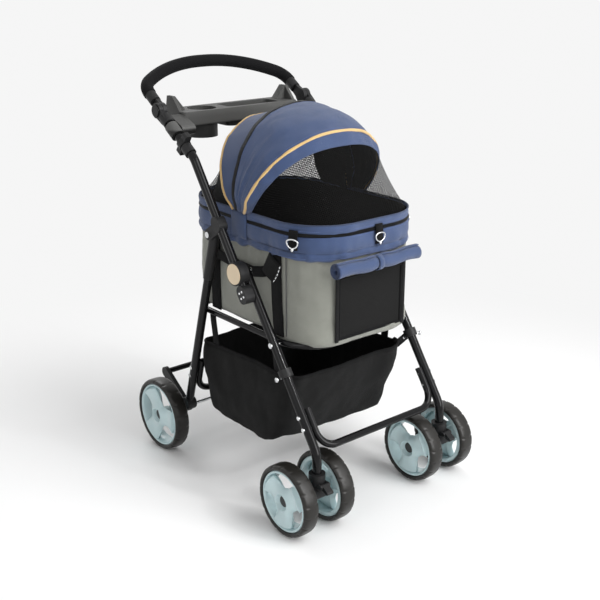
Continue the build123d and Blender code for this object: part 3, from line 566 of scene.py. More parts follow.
def arch(half, base_y, tilt, height, power, tuck):
    """A bow from the right rim to the left; a negative tilt is forward of upright, tuck draws its feet in."""
    a = np.linspace(math.pi, 0, ARCH_POINTS)
    c, s = np.cos(a), np.sin(a)
    x = half * np.sign(c) * np.abs(c) ** (2 / power)
    r = height * np.abs(s) ** (2 / power)
    x = x * (1 - tuck * np.exp(-(r / TUCK_RISE) ** 2))
    t = math.radians(tilt)
    return np.stack([x, base_y + r * math.sin(t), RIM + r * math.cos(t)], axis=1)


# Each bow's half width, foot, tilt in degrees, height and squareness
REAR_BOW = (186, 270, 31.9, 210, 2.10)
ZIP_BOW = (182, 258, 0.0, 215, 2.16)
MID_BOW = (186, 242, -16.0, 213, 2.14)
FRONT_BOW = (190, 225, -31.7, 200, 2.15)
MESH_EDGE = (168, 212, -36.5, 174, 2.50)
TUCK, EDGE_TUCK, TUCK_RISE = 0.07, 0.01, 28.0


def canopy_grid(stops, steps):
    """Rows of arches through a list of bows, eased so that the cloth is one smooth sheet."""
    keys = np.array(stops, float)
    last = len(keys) - 1
    rows = []
    for s in np.linspace(0, last, steps):
        k = min(int(s), last - 1)
        f = s - k
        before, after = max(k - 1, 0), min(k + 2, last)
        m0 = (keys[k + 1] - keys[before]) / (k + 1 - before)
        m1 = (keys[after] - keys[k]) / (after - k)
        h = f * f * (3 - 2 * f)
        row = keys[k] * (1 - h) + keys[k + 1] * h + m0 * f * (1 - f) ** 2 - m1 * f * f * (1 - f)
        rows.append(arch(*row, tuck=TUCK))
    return np.array(rows)


# Canopy: a hood that folds back over its fixed rear part, joined by a zip

CANOPY_ROWS, ZIP_ROW, BRIM_ROWS = 49, 16, 9
PIVOT_GATHER = 0.095
CLOTH, BRIM_CLOTH, LINING_GAP, BACK_SINK = 0.0022, 0.002, 0.0026, 0.0035
BOW_WIRE, BOW_INSET, PIPING = 0.0022, 0.0052, 0.0034

canopy_pts = place(canopy_grid([REAR_BOW, ZIP_BOW, MID_BOW, FRONT_BOW], CANOPY_ROWS))
canopy_out = grid_normals(canopy_pts)
canopy_out = canopy_out * np.sign(canopy_out[CANOPY_ROWS // 2, ARCH_POINTS // 2, 2])
canopy_pts = wrinkle(canopy_pts, canopy_out, size=0.07, depth=0.0026, seed=3.1)
canopy_pts = wrinkle(canopy_pts, canopy_out, size=0.022, depth=0.0011, seed=5.3)
near_pivot = np.exp(-((canopy_pts[..., 2] - RIM_Z) / PIVOT_GATHER) ** 2)
canopy_pts = puckers(canopy_pts, canopy_out, near_pivot, spacing=0.0085, depth=0.0042, seed=8.9, axis=0)
hood_pts, hood_out = canopy_pts[ZIP_ROW:], canopy_out[ZIP_ROW:]
back_out = canopy_out[:ZIP_ROW + 1]
taut = np.linspace(0, 1, ZIP_ROW + 1)[:, None, None]
back_pts = canopy_pts[:1] * (1 - taut) + canopy_pts[ZIP_ROW:ZIP_ROW + 1] * taut
back_pts = back_pts - back_out * BACK_SINK
sheet("canopy_hood", hood_pts, blue_cloth, "front_bow_wire", "canopy_fabric", thickness=CLOTH, body="canopy")
hood_lining = hood_pts - hood_out * LINING_GAP
sheet("canopy_hood_lining", hood_lining, lining_black, "canopy_hood", body="canopy")
sheet("canopy_back", back_pts, blue_cloth, "rear_bow_wire", thickness=CLOTH)
sheet("canopy_back_lining", back_pts - back_out * LINING_GAP, lining_black, "canopy_back")
front_wire = hood_pts[-2] - canopy_out[-2] * BOW_INSET
soft(tube("front_bow_wire", front_wire, BOW_WIRE, sides=10), lining_black, "front_bow", body="canopy")
rear_wire = back_pts[1] - canopy_out[1] * BOW_INSET
soft(tube("rear_bow_wire", rear_wire, BOW_WIRE, sides=10), lining_black, "rear_bow")

brim_rows = []
for share in np.linspace(0, 1, BRIM_ROWS):
    bow_at = [p + (q - p) * share for p, q in zip(FRONT_BOW, MESH_EDGE)]
    brim_rows.append(arch(*bow_at, tuck=TUCK * (1 - share) + EDGE_TUCK))
brim_pts = place(brim_rows)
brim_pts = wrinkle(brim_pts, grid_normals(brim_pts), size=0.05, depth=0.0025, seed=7.7)
mid_brim = np.broadcast_to(np.sin(np.linspace(0, math.pi, BRIM_ROWS))[:, None], brim_pts.shape[:2])
brim_pts = puckers(brim_pts, grid_normals(brim_pts), mid_brim, spacing=0.02, depth=0.0045, seed=2.7)
brim_pts[0] = hood_pts[-1]
sheet("canopy_brim", brim_pts, blue_cloth, "canopy_hood", thickness=BRIM_CLOTH, body="canopy")

for name, row, body in (("front_piping", hood_pts[-1], "canopy"), ("rear_piping", back_pts[0], "carrier")):
    soft(tube(name, row, PIPING, sides=10), piping_gold, body=body)
zip_tape = ribbon("canopy_zip", hood_pts[0], hood_out[0], width=0.011, thickness=0.0022)
soft(zip_tape, zip_black, body="canopy")


# Mesh panels from the brim to the front of the rim, and from the rear bow to its back

GUSSET_TOP, GUSSET_FOOT, GUSSET_STEPS, GUSSET_LIFT = 18.0, 9.0, 10, 0.001
MESH_CENTRE = np.array([0, 245, RIM - 60])
rim_outline = rounded_outline(165, 15, 476, 112, 400)


def rim_span(base_y, front):
    """The rim's edge from the right side round the front or the rear to the left side."""
    ahead = (base_y - rim_outline[:, 1]) * (1 if front else -1)
    keep = rim_outline[ahead >= 0]
    keep = keep[np.argsort(np.arctan2(keep[:, 0], ahead[ahead >= 0]))]
    length = run_of(keep)
    wanted = np.linspace(0, length[-1], ARCH_POINTS)
    return np.stack([np.interp(wanted, length, keep[:, 0]), np.interp(wanted, length, keep[:, 1]),
                     np.full(ARCH_POINTS, RIM - 1)], axis=1)


def panel_between(edge, rim_edge, sag):
    """A taut sheet between an arch and the rim, drawn in a little in the middle."""
    edge_len = run_of(edge)
    wanted = np.linspace(0, edge_len[-1], len(rim_edge))
    even = np.stack([np.interp(wanted, edge_len, edge[:, i]) for i in range(3)], axis=1)
    out = []
    for f in np.linspace(0, 1, MESH_ROWS):
        row = even * (1 - f) + rim_edge * f
        out.append(row + unit(MESH_CENTRE - row) * (sag * math.sin(math.pi * f)))
    return np.array(out)


front_mesh_pts = place(panel_between(arch(*MESH_EDGE, tuck=EDGE_TUCK), rim_span(MESH_EDGE[1], True), sag=4.0))
sheet("front_mesh_panel", front_mesh_pts, net_black, "canopy_brim", "front_mesh", body="canopy")
rear_edge = back_pts[0] / MM - [0, FRONT_AXLE_Y / MM, 0]
rear_mesh_pts = place(panel_between(rear_edge, rim_span(REAR_BOW[1], False), sag=14.0))
sheet("rear_mesh_panel", rear_mesh_pts, net_black, "rear_bow_wire", "rear_mesh", flip=True)
mesh_face = rear_mesh_pts + grid_normals(rear_mesh_pts) * GUSSET_LIFT
for label, grid in (("right", mesh_face), ("left", mesh_face[:, ::-1])):
    cols = np.arange(grid.shape[1])
    gusset_pts = []
    for row, end in zip(grid, np.linspace(GUSSET_TOP, GUSSET_FOOT, len(grid))):
        wanted = np.linspace(0, end, GUSSET_STEPS)
        gusset_pts.append(np.stack([np.interp(wanted, cols, row[:, k]) for k in range(3)], axis=1))
    sheet(f"{label}_rear_gusset", gusset_pts, black_cloth, "rear_mesh_panel", flip=label == "right")


# Blue rim band with its zip and hem; profiles are (outward offset, height over the rim)

band_outline = rounded_outline(BODY_HALF + 1, BODY_FRONT - 1, BODY_REAR + 1, BODY_CORNER + 6, 260)
BAND_PROFILE = [(2.5, -3), (3.2, 0.5), (5.0, 2.2), (6.6, 0.6), (6.8, -4), (6.0, -9), (5.6, -14), (5.0, -17),
                (4.6, -20), (5.4, -23), (6.8, -28), (8.2, -36), (8.6, -43), (8.0, -50), (6.4, -55),
                (5.2, -57), (6.6, -60), (8.0, -65), (7.4, -70), (5.0, -73), (2.0, -73.5)]
ZIP_PROFILE = [(5.2, -14.5), (6.4, -15), (6.7, -18.5), (6.4, -22), (5.2, -22.5)]
HEM_FROM, HEM_RUN = 22, 45


def band_wall(profile):
    """Points round the rim band at the heights of a profile."""
    return place(ring_wall(band_outline, [(offset, RIM + z) for offset, z in profile]))


band_pts = band_wall(BAND_PROFILE)
band_pts = wrinkle(band_pts, grid_normals(band_pts, True), size=0.055, depth=0.0022, seed=11.3)
to_hem = np.clip([(-HEM_FROM - z) / HEM_RUN for _, z in BAND_PROFILE], 0, 1)
to_hem = np.broadcast_to(to_hem[:, None], band_pts.shape[:2])
band_pts = puckers(band_pts, UP, to_hem ** 2, spacing=0.034, depth=0.0055, seed=6.1)
band_pts = puckers(band_pts, grid_normals(band_pts, True), to_hem, spacing=0.018, depth=0.0042, seed=9.4)
band = smooth_more(surface("rim_band_cloth", band_pts, wrap=True))
soft(band, blue_cloth, "rim_band")
soft(surface("rim_zip_tape", band_wall(ZIP_PROFILE), wrap=True), zip_black)
for name, offset, level, radius, sides, mat in (("rim_zip_teeth", 6.9, -18.5, 0.0012, 6, zip_black),
                                                ("rim_top_cord", 5.4, 2.4, 0.0016, 8, blue_dark),
                                                ("band_seam", 5.4, -57, 0.0012, 8, blue_dark)):
    soft(tube(name, band_wall([(offset, level)])[0], radius, sides, closed=True), mat)


# Gray body with the door opening, dark lining and webbing

BODY_ROWS, BODY_BULGE = 26, 2.2
DOOR_HALF, DOOR_LOW, DOOR_HIGH, DOOR_DEPTH = 92.0, BASE + 6, BASE + 144, 20
STRAP_WIDTH, STRAP_PROUD, STRAP_TOP, STRAP_POINTS = 34, 2.6, 575, 14
# How far the front's lowest rows drop and stand out, from the first of them down
FLARE = ((0, 0.15), (0, 0.3), (0, 0.5), (1, 0.7), (3, 0.85), (7, 1.0), (10, 0.95), (10, 0.5))
FLARE_START, FLARE_REAR, FLARE_RUN, FLARE_SIDE, FLARE_CORNER = 21, 180, 70, 2.0, 6.0

body_outline = inset_outline(0, 320)
levels = np.linspace(RIM - 68, BASE + 12, BODY_ROWS)
body_profile = [(0.5 + BODY_BULGE * math.sin(math.pi * k / (BODY_ROWS - 1)), z) for k, z in enumerate(levels)]
body_profile += [(-1.2, BASE + 7), (-4.0, BASE + 3), (-9.0, BASE + 0.8)]
body_rows = ring_wall(body_outline, body_profile)
body_out = outward_of(body_outline)
front_share = np.clip((FLARE_REAR - body_outline[:, 1]) / FLARE_RUN, 0, 1)
corner_push = FLARE_SIDE + FLARE_CORNER * np.abs(2 * body_out[:, 0] * body_out[:, 1])
for k, (drop, push) in enumerate(FLARE, FLARE_START):
    body_rows[k, :, :2] += body_out * (front_share * corner_push * push)[:, None]
    body_rows[k, :, 2] -= front_share * drop
body_pts = place(body_rows)
body_pts = wrinkle(body_pts, grid_normals(body_pts, True), size=0.075, depth=0.003, seed=23.9)
under_band = np.exp(-((body_pts[..., 2] - body_pts[0, 0, 2]) / 0.035) ** 2)
body_pts = puckers(body_pts, grid_normals(body_pts, True), under_band, spacing=0.016, depth=0.0035, seed=4.2)


def shell_with_door(name, pts, flip=False):
    """The body's wall without the faces that lie in the door opening."""
    whole = surface(name, pts, wrap=True, flip=flip)
    mesh = whole.data
    faces = []
    for poly in mesh.polygons:
        c = sum((mesh.vertices[i].co for i in poly.vertices), Vector()) / len(poly.vertices)
        in_front = (c.y - FRONT_AXLE_Y) / MM < BODY_FRONT + DOOR_DEPTH
        in_door = abs(c.x) < (DOOR_HALF - 1) * MM and DOOR_LOW < c.z / MM < DOOR_HIGH
        if not (in_front and in_door):
            faces.append(tuple(poly.vertices))
    verts = [tuple(v.co) for v in mesh.vertices]
    uv = np.zeros((len(verts), 2))
    for loop, data in zip(mesh.loops, mesh.uv_layers[0].data):
        uv[loop.vertex_index] = data.uv
    bpy.data.objects.remove(whole)
    return add_object(name, verts, faces, uv)


soft(shell_with_door("carrier_cloth", body_pts), gray_cloth, "carrier_body")
inner_profile = [(-0.5, RIM - 2)] + [(o - 3.5, z) for o, z in body_profile]
inner_profile[-1] = (inner_profile[-1][0], BASE + 3.0)
inner_pts = place(ring_wall(body_outline, inner_profile))
soft(shell_with_door("carrier_lining", inner_pts, flip=True), lining_black)
floor_ring = inset_outline(9, PLAN_POINTS)
floor_rows = [shrunk(floor_ring, PLAN_MIDDLE, k, BASE + 0.8) for k in (1.0, 0.75, 0.5, 0.25, 0.02)]
soft(surface("carrier_base", place(floor_rows), wrap=True), black_cloth)


def wall_strip(name, y_top, y_low, side):
    """A strap sewn down the side of the body."""
    zs = np.linspace(STRAP_TOP, BASE + 3, STRAP_POINTS)
    ys = np.linspace(y_top, y_low, STRAP_POINTS)
    bulge = np.interp(-zs, -levels, [o for o, _ in body_profile[:BODY_ROWS]])
    path = place([(side * (BODY_HALF + b + 1.0), y, z) for b, y, z in zip(bulge, ys, zs)])
    strap = ribbon(name, path, (side, 0, 0), STRAP_WIDTH * MM, STRAP_PROUD * MM)
    soft(strap, webbing)


for side, label in ((-1, "right"), (1, "left")):
    wall_strip(f"{label}_front_strap", 132, 124, side)
    wall_strip(f"{label}_rear_strap", 348, 352, side)


# Door: net panel in a bound edge, hinged at its foot

DOOR_BULGE = 2.2
TAPE_POINTS = 14


def door_at(x, z):
    """A point of the door's net, which bulges a little to the front."""
    rise = (z - DOOR_LOW) / (DOOR_HIGH - DOOR_LOW)
    bulge = DOOR_BULGE * math.cos(math.pi * x / 2 / DOOR_HALF) * math.sin(math.pi * rise)
    return x, BODY_FRONT - 0.5 - bulge, z


door_x = np.linspace(-DOOR_HALF + 2, DOOR_HALF - 2, 37)
door_z = np.linspace(DOOR_HIGH - 3, DOOR_LOW + 2, 29)
door_pts = place([[door_at(x, z) for x in door_x] for z in door_z])
sheet("door_net", door_pts, door_net, "carrier_cloth", "front_door", body="door")
edge_loop = np.concatenate([door_pts[0], door_pts[1:, -1], door_pts[-1, ::-1][1:], door_pts[1:-1, 0][::-1]])
soft(tube("door_binding", edge_loop, 0.0032, sides=8, closed=True), webbing, body="door")
for side, label in ((-1, "r"), (1, "l")):
    zs = np.linspace(DOOR_HIGH + 20, BASE + 3, TAPE_POINTS)
    path = place([(side * (DOOR_HALF + 5), BODY_FRONT - 1.2, z) for z in zs])
    tape = ribbon(f"door_tape_{label}", path, (0, -1, 0), width=0.009, thickness=0.0022)
    soft(tape, zip_black)


# Rolled flap above the door, tied with a strap

FLAP_TURNS, FLAP_POINTS, FLAP_STEPS, FLAP_CLOTH = 3.3, 120, 49, 0.0014
FLAP_INNER, FLAP_OUTER = 0.0055, 0.0165
TIE_POINTS, TIE_RADIUS, TIE_LENGTH, FLAP_DROOP = 40, 0.0152, 0.012, 0.002

roll_low, roll_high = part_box("flap_roll")
roll_y, roll_z = (roll_low.y + roll_high.y) / 2, (roll_low.z + roll_high.z) / 2
turns = np.linspace(0, 2 * math.pi * FLAP_TURNS, FLAP_POINTS)
spiral = np.linspace(FLAP_INNER, FLAP_OUTER, FLAP_POINTS)
section = np.stack([np.cos(turns) * spiral, np.sin(turns) * spiral], axis=1)
roll_pts = []
for x in np.linspace(roll_low.x, roll_high.x, FLAP_STEPS):
    t = x / roll_high.x
    squeeze = 1 - 0.22 * math.exp(-(x / TIE_LENGTH) ** 2) + 0.05 * math.cos(5 * t)
    droop = -FLAP_DROOP * math.cos(math.pi * t / 2)
    ripple = 0.0012 * math.sin(9 * t + 1.3)
    roll_pts.append([(x, roll_y + p[0] * squeeze, roll_z + p[1] * squeeze + droop + ripple) for p in section])
sheet("flap_roll_cloth", roll_pts, blue_cloth, "rim_band_cloth", "flap_roll",
      held="folded", thickness=FLAP_CLOTH)
ring_turn = round_turn(TIE_POINTS)
tie_out = np.stack([np.zeros(TIE_POINTS), np.cos(ring_turn), np.sin(ring_turn)], axis=1)
tie_path = np.array([0, roll_y, roll_z - FLAP_DROOP]) + TIE_RADIUS * tie_out
soft(ribbon("flap_tie", tie_path, tie_out, width=0.014, thickness=0.0016), blue_cloth)


# Floor mat: a crowned pad, as shares of its outline and heights over its foot

MAT_PROFILE = [(0.02, 9.5), (0.3, 9.8), (0.6, 9.6), (0.85, 9.0), (0.95, 7.2),
               (0.985, 4.5), (0.97, 1.6), (0.9, 0.4), (0.4, 0.2), (0.02, 0.2)]
mat_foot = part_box("floor_mat")[0].z / MM
mat_ring = inset_outline(5, PLAN_POINTS)
mat_pts = place([shrunk(mat_ring, PLAN_MIDDLE, share, mat_foot + z) for share, z in MAT_PROFILE])
pad = surface("floor_pad", mat_pts, wrap=True, flip=True, caps=True)
puff(pad, pressure=4.0, most=0.006, voxel=0.006, frames=20)
soft(pad, mat_cloth, "floor_mat")


# Basket: a hanging cloth tub with a sagging floor

BASKET_TOP, BASKET_HALF, LOOP_Z, BASKET_FLOOR, BASKET_MIDDLE = 308.0, 163.0, 385.0, 120, 268
BASKET_WALL_ROWS, BASKET_POINTS, BASKET_BULGE = 18, 240, 7.0
BASKET_STRAP = ((161, 304), (164, 335), (167, 362), (168, 377.5))


def basket_rows():
    """Rows of the tub from the top edge down to the floor's middle, in millimetres."""
    top = rounded_outline(BASKET_HALF, 72, 422, 26, BASKET_POINTS)
    low = rounded_outline(157, 122, 416, 34, BASKET_POINTS)
    corner = np.abs(top[:, 0] / BASKET_HALF) ** 6 * (top[:, 1] < 100)
    z_top = BASKET_TOP + 6 * corner - 12 * np.clip((top[:, 1] - 250) / 170, 0, 1)
    front_lift = 25 * np.clip((230 - low[:, 1]) / 102, 0, 1) ** 2
    rear_lift = 14 * np.clip((low[:, 1] - 310) / 100, 0, 1) ** 2
    z_low = BASKET_FLOOR + front_lift + rear_lift
    rows = []
    for f in np.linspace(0, 1, BASKET_WALL_ROWS):
        plan = top * (1 - f) + low * f
        plan = plan + outward_of(plan) * (BASKET_BULGE * math.sin(math.pi * f))
        rows.append(np.c_[plan, z_top * (1 - f) + z_low * f])
    for share, drop in ((0.93, 3), (0.8, 5), (0.6, 6), (0.35, 6), (0.02, 6)):
        rows.append(shrunk(low, BASKET_MIDDLE, share, z_low * share + (1 - share) * BASKET_FLOOR - drop))
    return np.array(rows)


def hung(obj, mat, *stands_for):
    """A piece that hangs from the seat loop, riding on the seat frame."""
    soft(obj, mat, *stands_for, body="seat_frame", anchor=LOOP_Z * MM)


basket_pts = place(basket_rows())
basket_pts = wrinkle(basket_pts, grid_normals(basket_pts, True), size=0.08, depth=0.006, seed=41.7)
hung(thick(surface("basket_cloth", basket_pts, wrap=True), 0.0016), black_cloth, "basket")
hung(tube("basket_hem", basket_pts[0], 0.0028, sides=8, closed=True), webbing)
for side, label in ((1, "left"), (-1, "right")):
    for y in (130, 360):
        path = place([(side * x, y, z) for x, z in BASKET_STRAP])
        strap = ribbon(f"basket_strap_{label}_{y}", path, (side, 0, 0.2), width=0.022, thickness=0.0022)
        hung(strap, webbing)


# Wheels: a tyre's wall is (share of its half width, share of its depth), turned profiles are in metres

TYRE_WALL = [(-0.60, 0.0), (-0.86, 0.06), (-0.97, 0.25), (-1.0, 0.45), (-0.97, 0.62),
             (-0.9, 0.77), (-0.78, 0.89), (-0.62, 0.96), (-0.4, 0.985), (-0.2, 1.0)]
TYRE_PROFILE = TYRE_WALL + [(0, 1.0)] + [(-x, h) for x, h in TYRE_WALL[::-1]]
TYRE_STEPS, TYRE_DEPTH = 288, 0.012
LUGS, LUG_LEAN, LUG_GROOVE = 18, 0.10, 0.0018
RIM_HALF = 0.0155
RING_PROFILE = [(-RIM_HALF, 0.009), (-RIM_HALF, 0.001), (-RIM_HALF * 0.9, 0), (RIM_HALF * 0.9, 0),
                (RIM_HALF + 0.0008, 0.0014), (RIM_HALF + 0.0012, 0.0034), (RIM_HALF, 0.0052),
                (RIM_HALF * 0.72, 0.0068), (0.2 * RIM_HALF, 0.0088), (-0.6 * RIM_HALF, 0.0098),
                (-RIM_HALF, 0.009)]
HUB_PROFILE = [(-0.017, 0.0), (-0.017, 0.0125), (-0.015, 0.0145), (0.0105, 0.0160), (0.0135, 0.0150),
               (0.0143, 0.0138), (0.0140, 0.0127), (0.0110, 0.0125), (0.0110, 0.0)]
# A dome over the hub's face, coloured near black as painted shade for the hub's hole
BORE_SHADE_PROFILE = [(0.0115, 0.0125), (0.0135, 0.0122), (0.0140, 0.0112), (0.0142, 0.0050), (0.0142, 0.0)]
SPOKES, SPOKE_ROWS, SPOKE_COLS = 3, 9, 13
SPOKE_ROOT, SPOKE_INSET, SPOKE_DEPTH, SPOKE_EDGE = 0.0116, 0.006, 0.0145, 0.0012
SPOKE_HALF, SPOKE_FLARE = 0.010, 0.015
ROOT_SPREAD, ROOT_AT, ROOT_RUN = 0.9, 0.012, 0.0085
DISH, DISH_DEPTH, BOWL, EDGE_ROUND = 0.0095, 0.0065, 0.0012, 0.004


def tyre_piece(name, node_name, body):
    """A tyre with slanted grooves over its shoulders."""
    low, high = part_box(node_name)
    radius, half = (high.z - low.z) / 2, (high.x - low.x) / 2
    seat = radius - TYRE_DEPTH
    turn = round_turn(TYRE_STEPS)
    pts = []
    for x, h in TYRE_PROFILE:
        lug = ((turn + LUG_LEAN * abs(x)) * LUGS / (2 * math.pi)) % 1
        rib = np.clip(np.abs(lug - 0.5) * 2 * 9 - 0.9, 0, 1)
        shoulder = 0.5 < abs(x) < 0.98 and h > 0.3
        r = seat + (radius - seat) * h - (1 - rib) * (LUG_GROOVE if shoulder else 0.0)
        pts.append(np.stack([np.full(TYRE_STEPS, x * half), r * np.cos(turn), r * np.sin(turn)], axis=1))
    obj = surface(name, np.array(pts) + np.array((low + high) / 2), wrap=True)
    hard(obj, body, tyre_rubber, node_name)


def rim_piece(name, node_name, body, outward, phase):
    """A rim's ring, its three dished spokes, its hub and a dark dome of painted shade for the hub's hole;
    phase is the first spoke's angle.
    """
    low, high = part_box(node_name)
    centre = (low + high) / 2
    radius = (high.z - low.z) / 2
    ring = lathe(name + "_ring", [(outward * x, radius - drop) for x, drop in RING_PROFILE], centre, 144)
    hard(ring, body, rim_ice, node_name)
    verts, faces = [], []
    order = (0, 1, 2, 3) if outward > 0 else (0, 3, 2, 1)
    for k in range(SPOKES):
        mid = math.radians(phase + 360 / SPOKES * k)
        faces += [[len(verts) + q[i] for i in order] for q in quads(SPOKE_ROWS, SPOKE_COLS)]
        for f in np.linspace(0, 1, SPOKE_ROWS):
            r = SPOKE_ROOT + (radius - SPOKE_INSET - SPOKE_ROOT) * f
            root = ROOT_SPREAD * math.exp(-((r - ROOT_AT) / ROOT_RUN) ** 2)
            wide = math.atan2(SPOKE_HALF + SPOKE_FLARE * f, r) + root
            dish = DISH - DISH_DEPTH * math.sin(math.pi * f) ** 0.8
            for g in np.linspace(-1, 1, SPOKE_COLS):
                a = mid + g * wide
                bowl = -BOWL * (1 - g * g) * math.sin(math.pi * f) - EDGE_ROUND * g ** 6
                verts.append((outward * (dish + bowl), r * math.cos(a), r * math.sin(a)))
    verts = np.array(verts)
    spokes = add_object(name + "_spokes", verts + np.array(centre), faces, verts[:, 1:])
    thick(spokes, SPOKE_DEPTH, -1.0)
    modifier(spokes, "BEVEL", "edge", width=SPOKE_EDGE, segments=3, limit_method="ANGLE")
    hard(spokes, body, rim_ice)
    # The hub, and over it a near-black dome that paints the shade of the hub's hole
    for label, profile, steps, mat in (("hub", HUB_PROFILE, 64, rim_ice), ("bore_shade", BORE_SHADE_PROFILE, 48, hub_bore_shade)):
        turned = lathe(f"{name}_{label}", [(outward * x, r) for x, r in profile], centre, steps)
        hard(turned, body, mat)


for side, sign in (("left", 1), ("right", -1)):
    for where, outward, phase in (("outer_front", sign, 150), ("inner_front", -sign, 150),
                                  ("rear", sign, 180)):
        wheel = f"{side}_{where}"
        tyre_piece(f"{wheel}_tread", f"{wheel}_tyre", f"{wheel}_wheel")
        rim_piece(f"{wheel}_disc", f"{wheel}_rim", f"{wheel}_wheel", outward, phase)


# Snap hooks on the rim: a webbing tab, a D ring and its swivel, as heights and offsets from the ring

RING_HALF, RING_WIRE, RING_Z, RING_OUT, RING_FLAT = 13.0, 1.7, RIM - 33, 13.6, 0.45
HOOKS_AT = ((12, BODY_FRONT), (165, 72), (-165, 72), (0, BODY_REAR))
HOOK_TAB = ((24, 7.0), (14, 9.2), (2, 10.2), (-10, 9.8), (-18, 9.0))
HOOK_STEM = ((-11.5, 1.8), (-14, 3.2), (-16.5, 3.6), (-19, 2.8), (-21, 1.2))

for k, wanted in enumerate(HOOKS_AT):
    nearest = int(np.argmin(np.linalg.norm(band_outline - wanted, axis=1)))
    out = np.append(outward_of(band_outline)[nearest], 0.0)
    across = np.array([-out[1], out[0], 0.0])
    spot = np.append(band_outline[nearest], RING_Z)
    tab_path = place([spot + UP * z + out * o for z, o in HOOK_TAB])
    tab = ribbon(f"hook_strap_{k}", tab_path, out, width=0.021, thickness=0.002)
    soft(tab, webbing)
    loop = []
    for a in round_turn(40):
        reach = RING_HALF if math.sin(a) < 0 else RING_FLAT * RING_HALF
        loop.append(spot + out * RING_OUT + across * (RING_HALF * math.cos(a)) + UP * (reach * math.sin(a)))
    ring = tube(f"hook_ring_{k}", place(loop), RING_WIRE * MM, sides=10, closed=True)
    soft(ring, bright_steel, *(["snap_hooks"] if k == 0 else []))
    stem_path = place([spot + out * RING_OUT + UP * z for z, _ in HOOK_STEM])
    stem = tube(f"hook_stem_{k}", stem_path, np.array([r for _, r in HOOK_STEM]) * MM, sides=12)
    soft(stem, bright_steel)


# Seams, tabs, side straps and strap keepers of the carrier

STITCH_LIFT = 0.0012
TAB_Y, TAB_EDGE, TAB_LIFT = 252, 24.3, 0.0014
PIVOT_TAB = ((8.0, -2), (8.4, -12), (9.4, -34), (9.2, -50), (7.6, -60))
SIDE_STRAP = ((344, 530), (300, 526), (252, 521), (205, 520), (178, 526), (160, 532))


def sewn(name, path, outward, body="carrier"):
    soft(stitches(name, path, outward), thread_blue, body=body)


def keeper_at(side, u, v):
    """A point of a tilted strap keeper, u from its front edge to its rear and v up it."""
    bulge = 2.2 * math.cos(math.pi * u / 2)
    return np.array([side * (BODY_HALF + 7.4 + bulge), 140 + 17.4 * u - 12.5 * v, 545 + 10 * u + 21.7 * v])


for label, row, pts, body in (("front", 46, canopy_pts, "canopy"), ("before_zip", 18, canopy_pts, "canopy"),
                              ("behind_zip", 14, back_pts, "carrier"), ("rear", 2, back_pts, "carrier")):
    sewn(f"canopy_stitch_{label}", pts[row] + canopy_out[row] * STITCH_LIFT, canopy_out[row], body)
band_out = np.c_[outward_of(band_outline), np.zeros(len(band_outline))]
for label, level, reach in (("hem", -68, 7.9), ("under_zip", -25, 6.2), ("top", -10, 6.4)):
    sewn(f"band_stitch_{label}", band_wall([(reach, level)])[0], band_out)
for side, label in ((-1, "right"), (1, "left")):
    outward = (side, 0, 0)
    seam = place([(side * (BODY_HALF + 2.6), 99, z) for z in np.linspace(576, BASE + 8, 24)])
    soft(tube(f"{label}_body_seam", seam, 0.0010, sides=6), thread)
    tab_path = place([(side * (BODY_HALF + d), TAB_Y, RIM + z) for d, z in PIVOT_TAB])
    tab = ribbon(f"{label}_pivot_tab", tab_path, outward, width=0.056, thickness=0.0012)
    soft(tab, blue_cloth)
    for k, edge in enumerate((-TAB_EDGE, TAB_EDGE)):
        sewn(f"{label}_tab_stitch_{k}", tab_path + np.array([side * TAB_LIFT, edge * MM, 0]), outward)
    strap_path = place([(side * (BODY_HALF + 5.0), y, z) for y, z in SIDE_STRAP])
    strap = ribbon(f"{label}_side_strap", strap_path, outward, width=0.024, thickness=0.0024)
    soft(strap, webbing)
    keeper_rows = [[keeper_at(side, u, v) for u in np.linspace(-1, 1, 9)] for v in np.linspace(1, -1, 9)]
    keeper = thick(surface(f"{label}_strap_keeper", place(keeper_rows), flip=side < 0), 0.003, -1.0)
    soft(keeper, black_cloth)
    wire_path = [keeper_at(side, -1 - 0.12 * math.cos(math.pi * v / 2), v) + [side * 1.6, 0, 0]
                 for v in np.linspace(0.9, -1, 16)]
    wire = stitches(f"{label}_keeper_wire", place(wire_path), outward,
                    length=0.007, pitch=0.0098, size=0.0014)
    soft(wire, bright_steel)


# Rivets on the leg locks and the basket's hooks on the leg collars

LEG_RISE, LEG_RUN = 0.2248, 0.1531
RIVET_U, RIVET_V = 6, 5
RIVET = ((-0.0005, 0.0027), (0.0006, 0.0025), (0.0012, 0.0016), (0.0014, 0.0001))
COLLAR_PIN = ((0.0, 0.0022), (0.009, 0.0024), (0.010, 0.0050),
              (0.0125, 0.0056), (0.0145, 0.0046), (0.0150, 0.0002))
PIN_FORWARD, PIN_DROP = 0.004, 0.006
BASKET_ARM = ((192, 74, 330), (182, 79, 322), (172, 84, 313), (160, 89, 303))
BASKET_BOLT = ((176, 81.0, 318), (176, 77.0, 319.5))

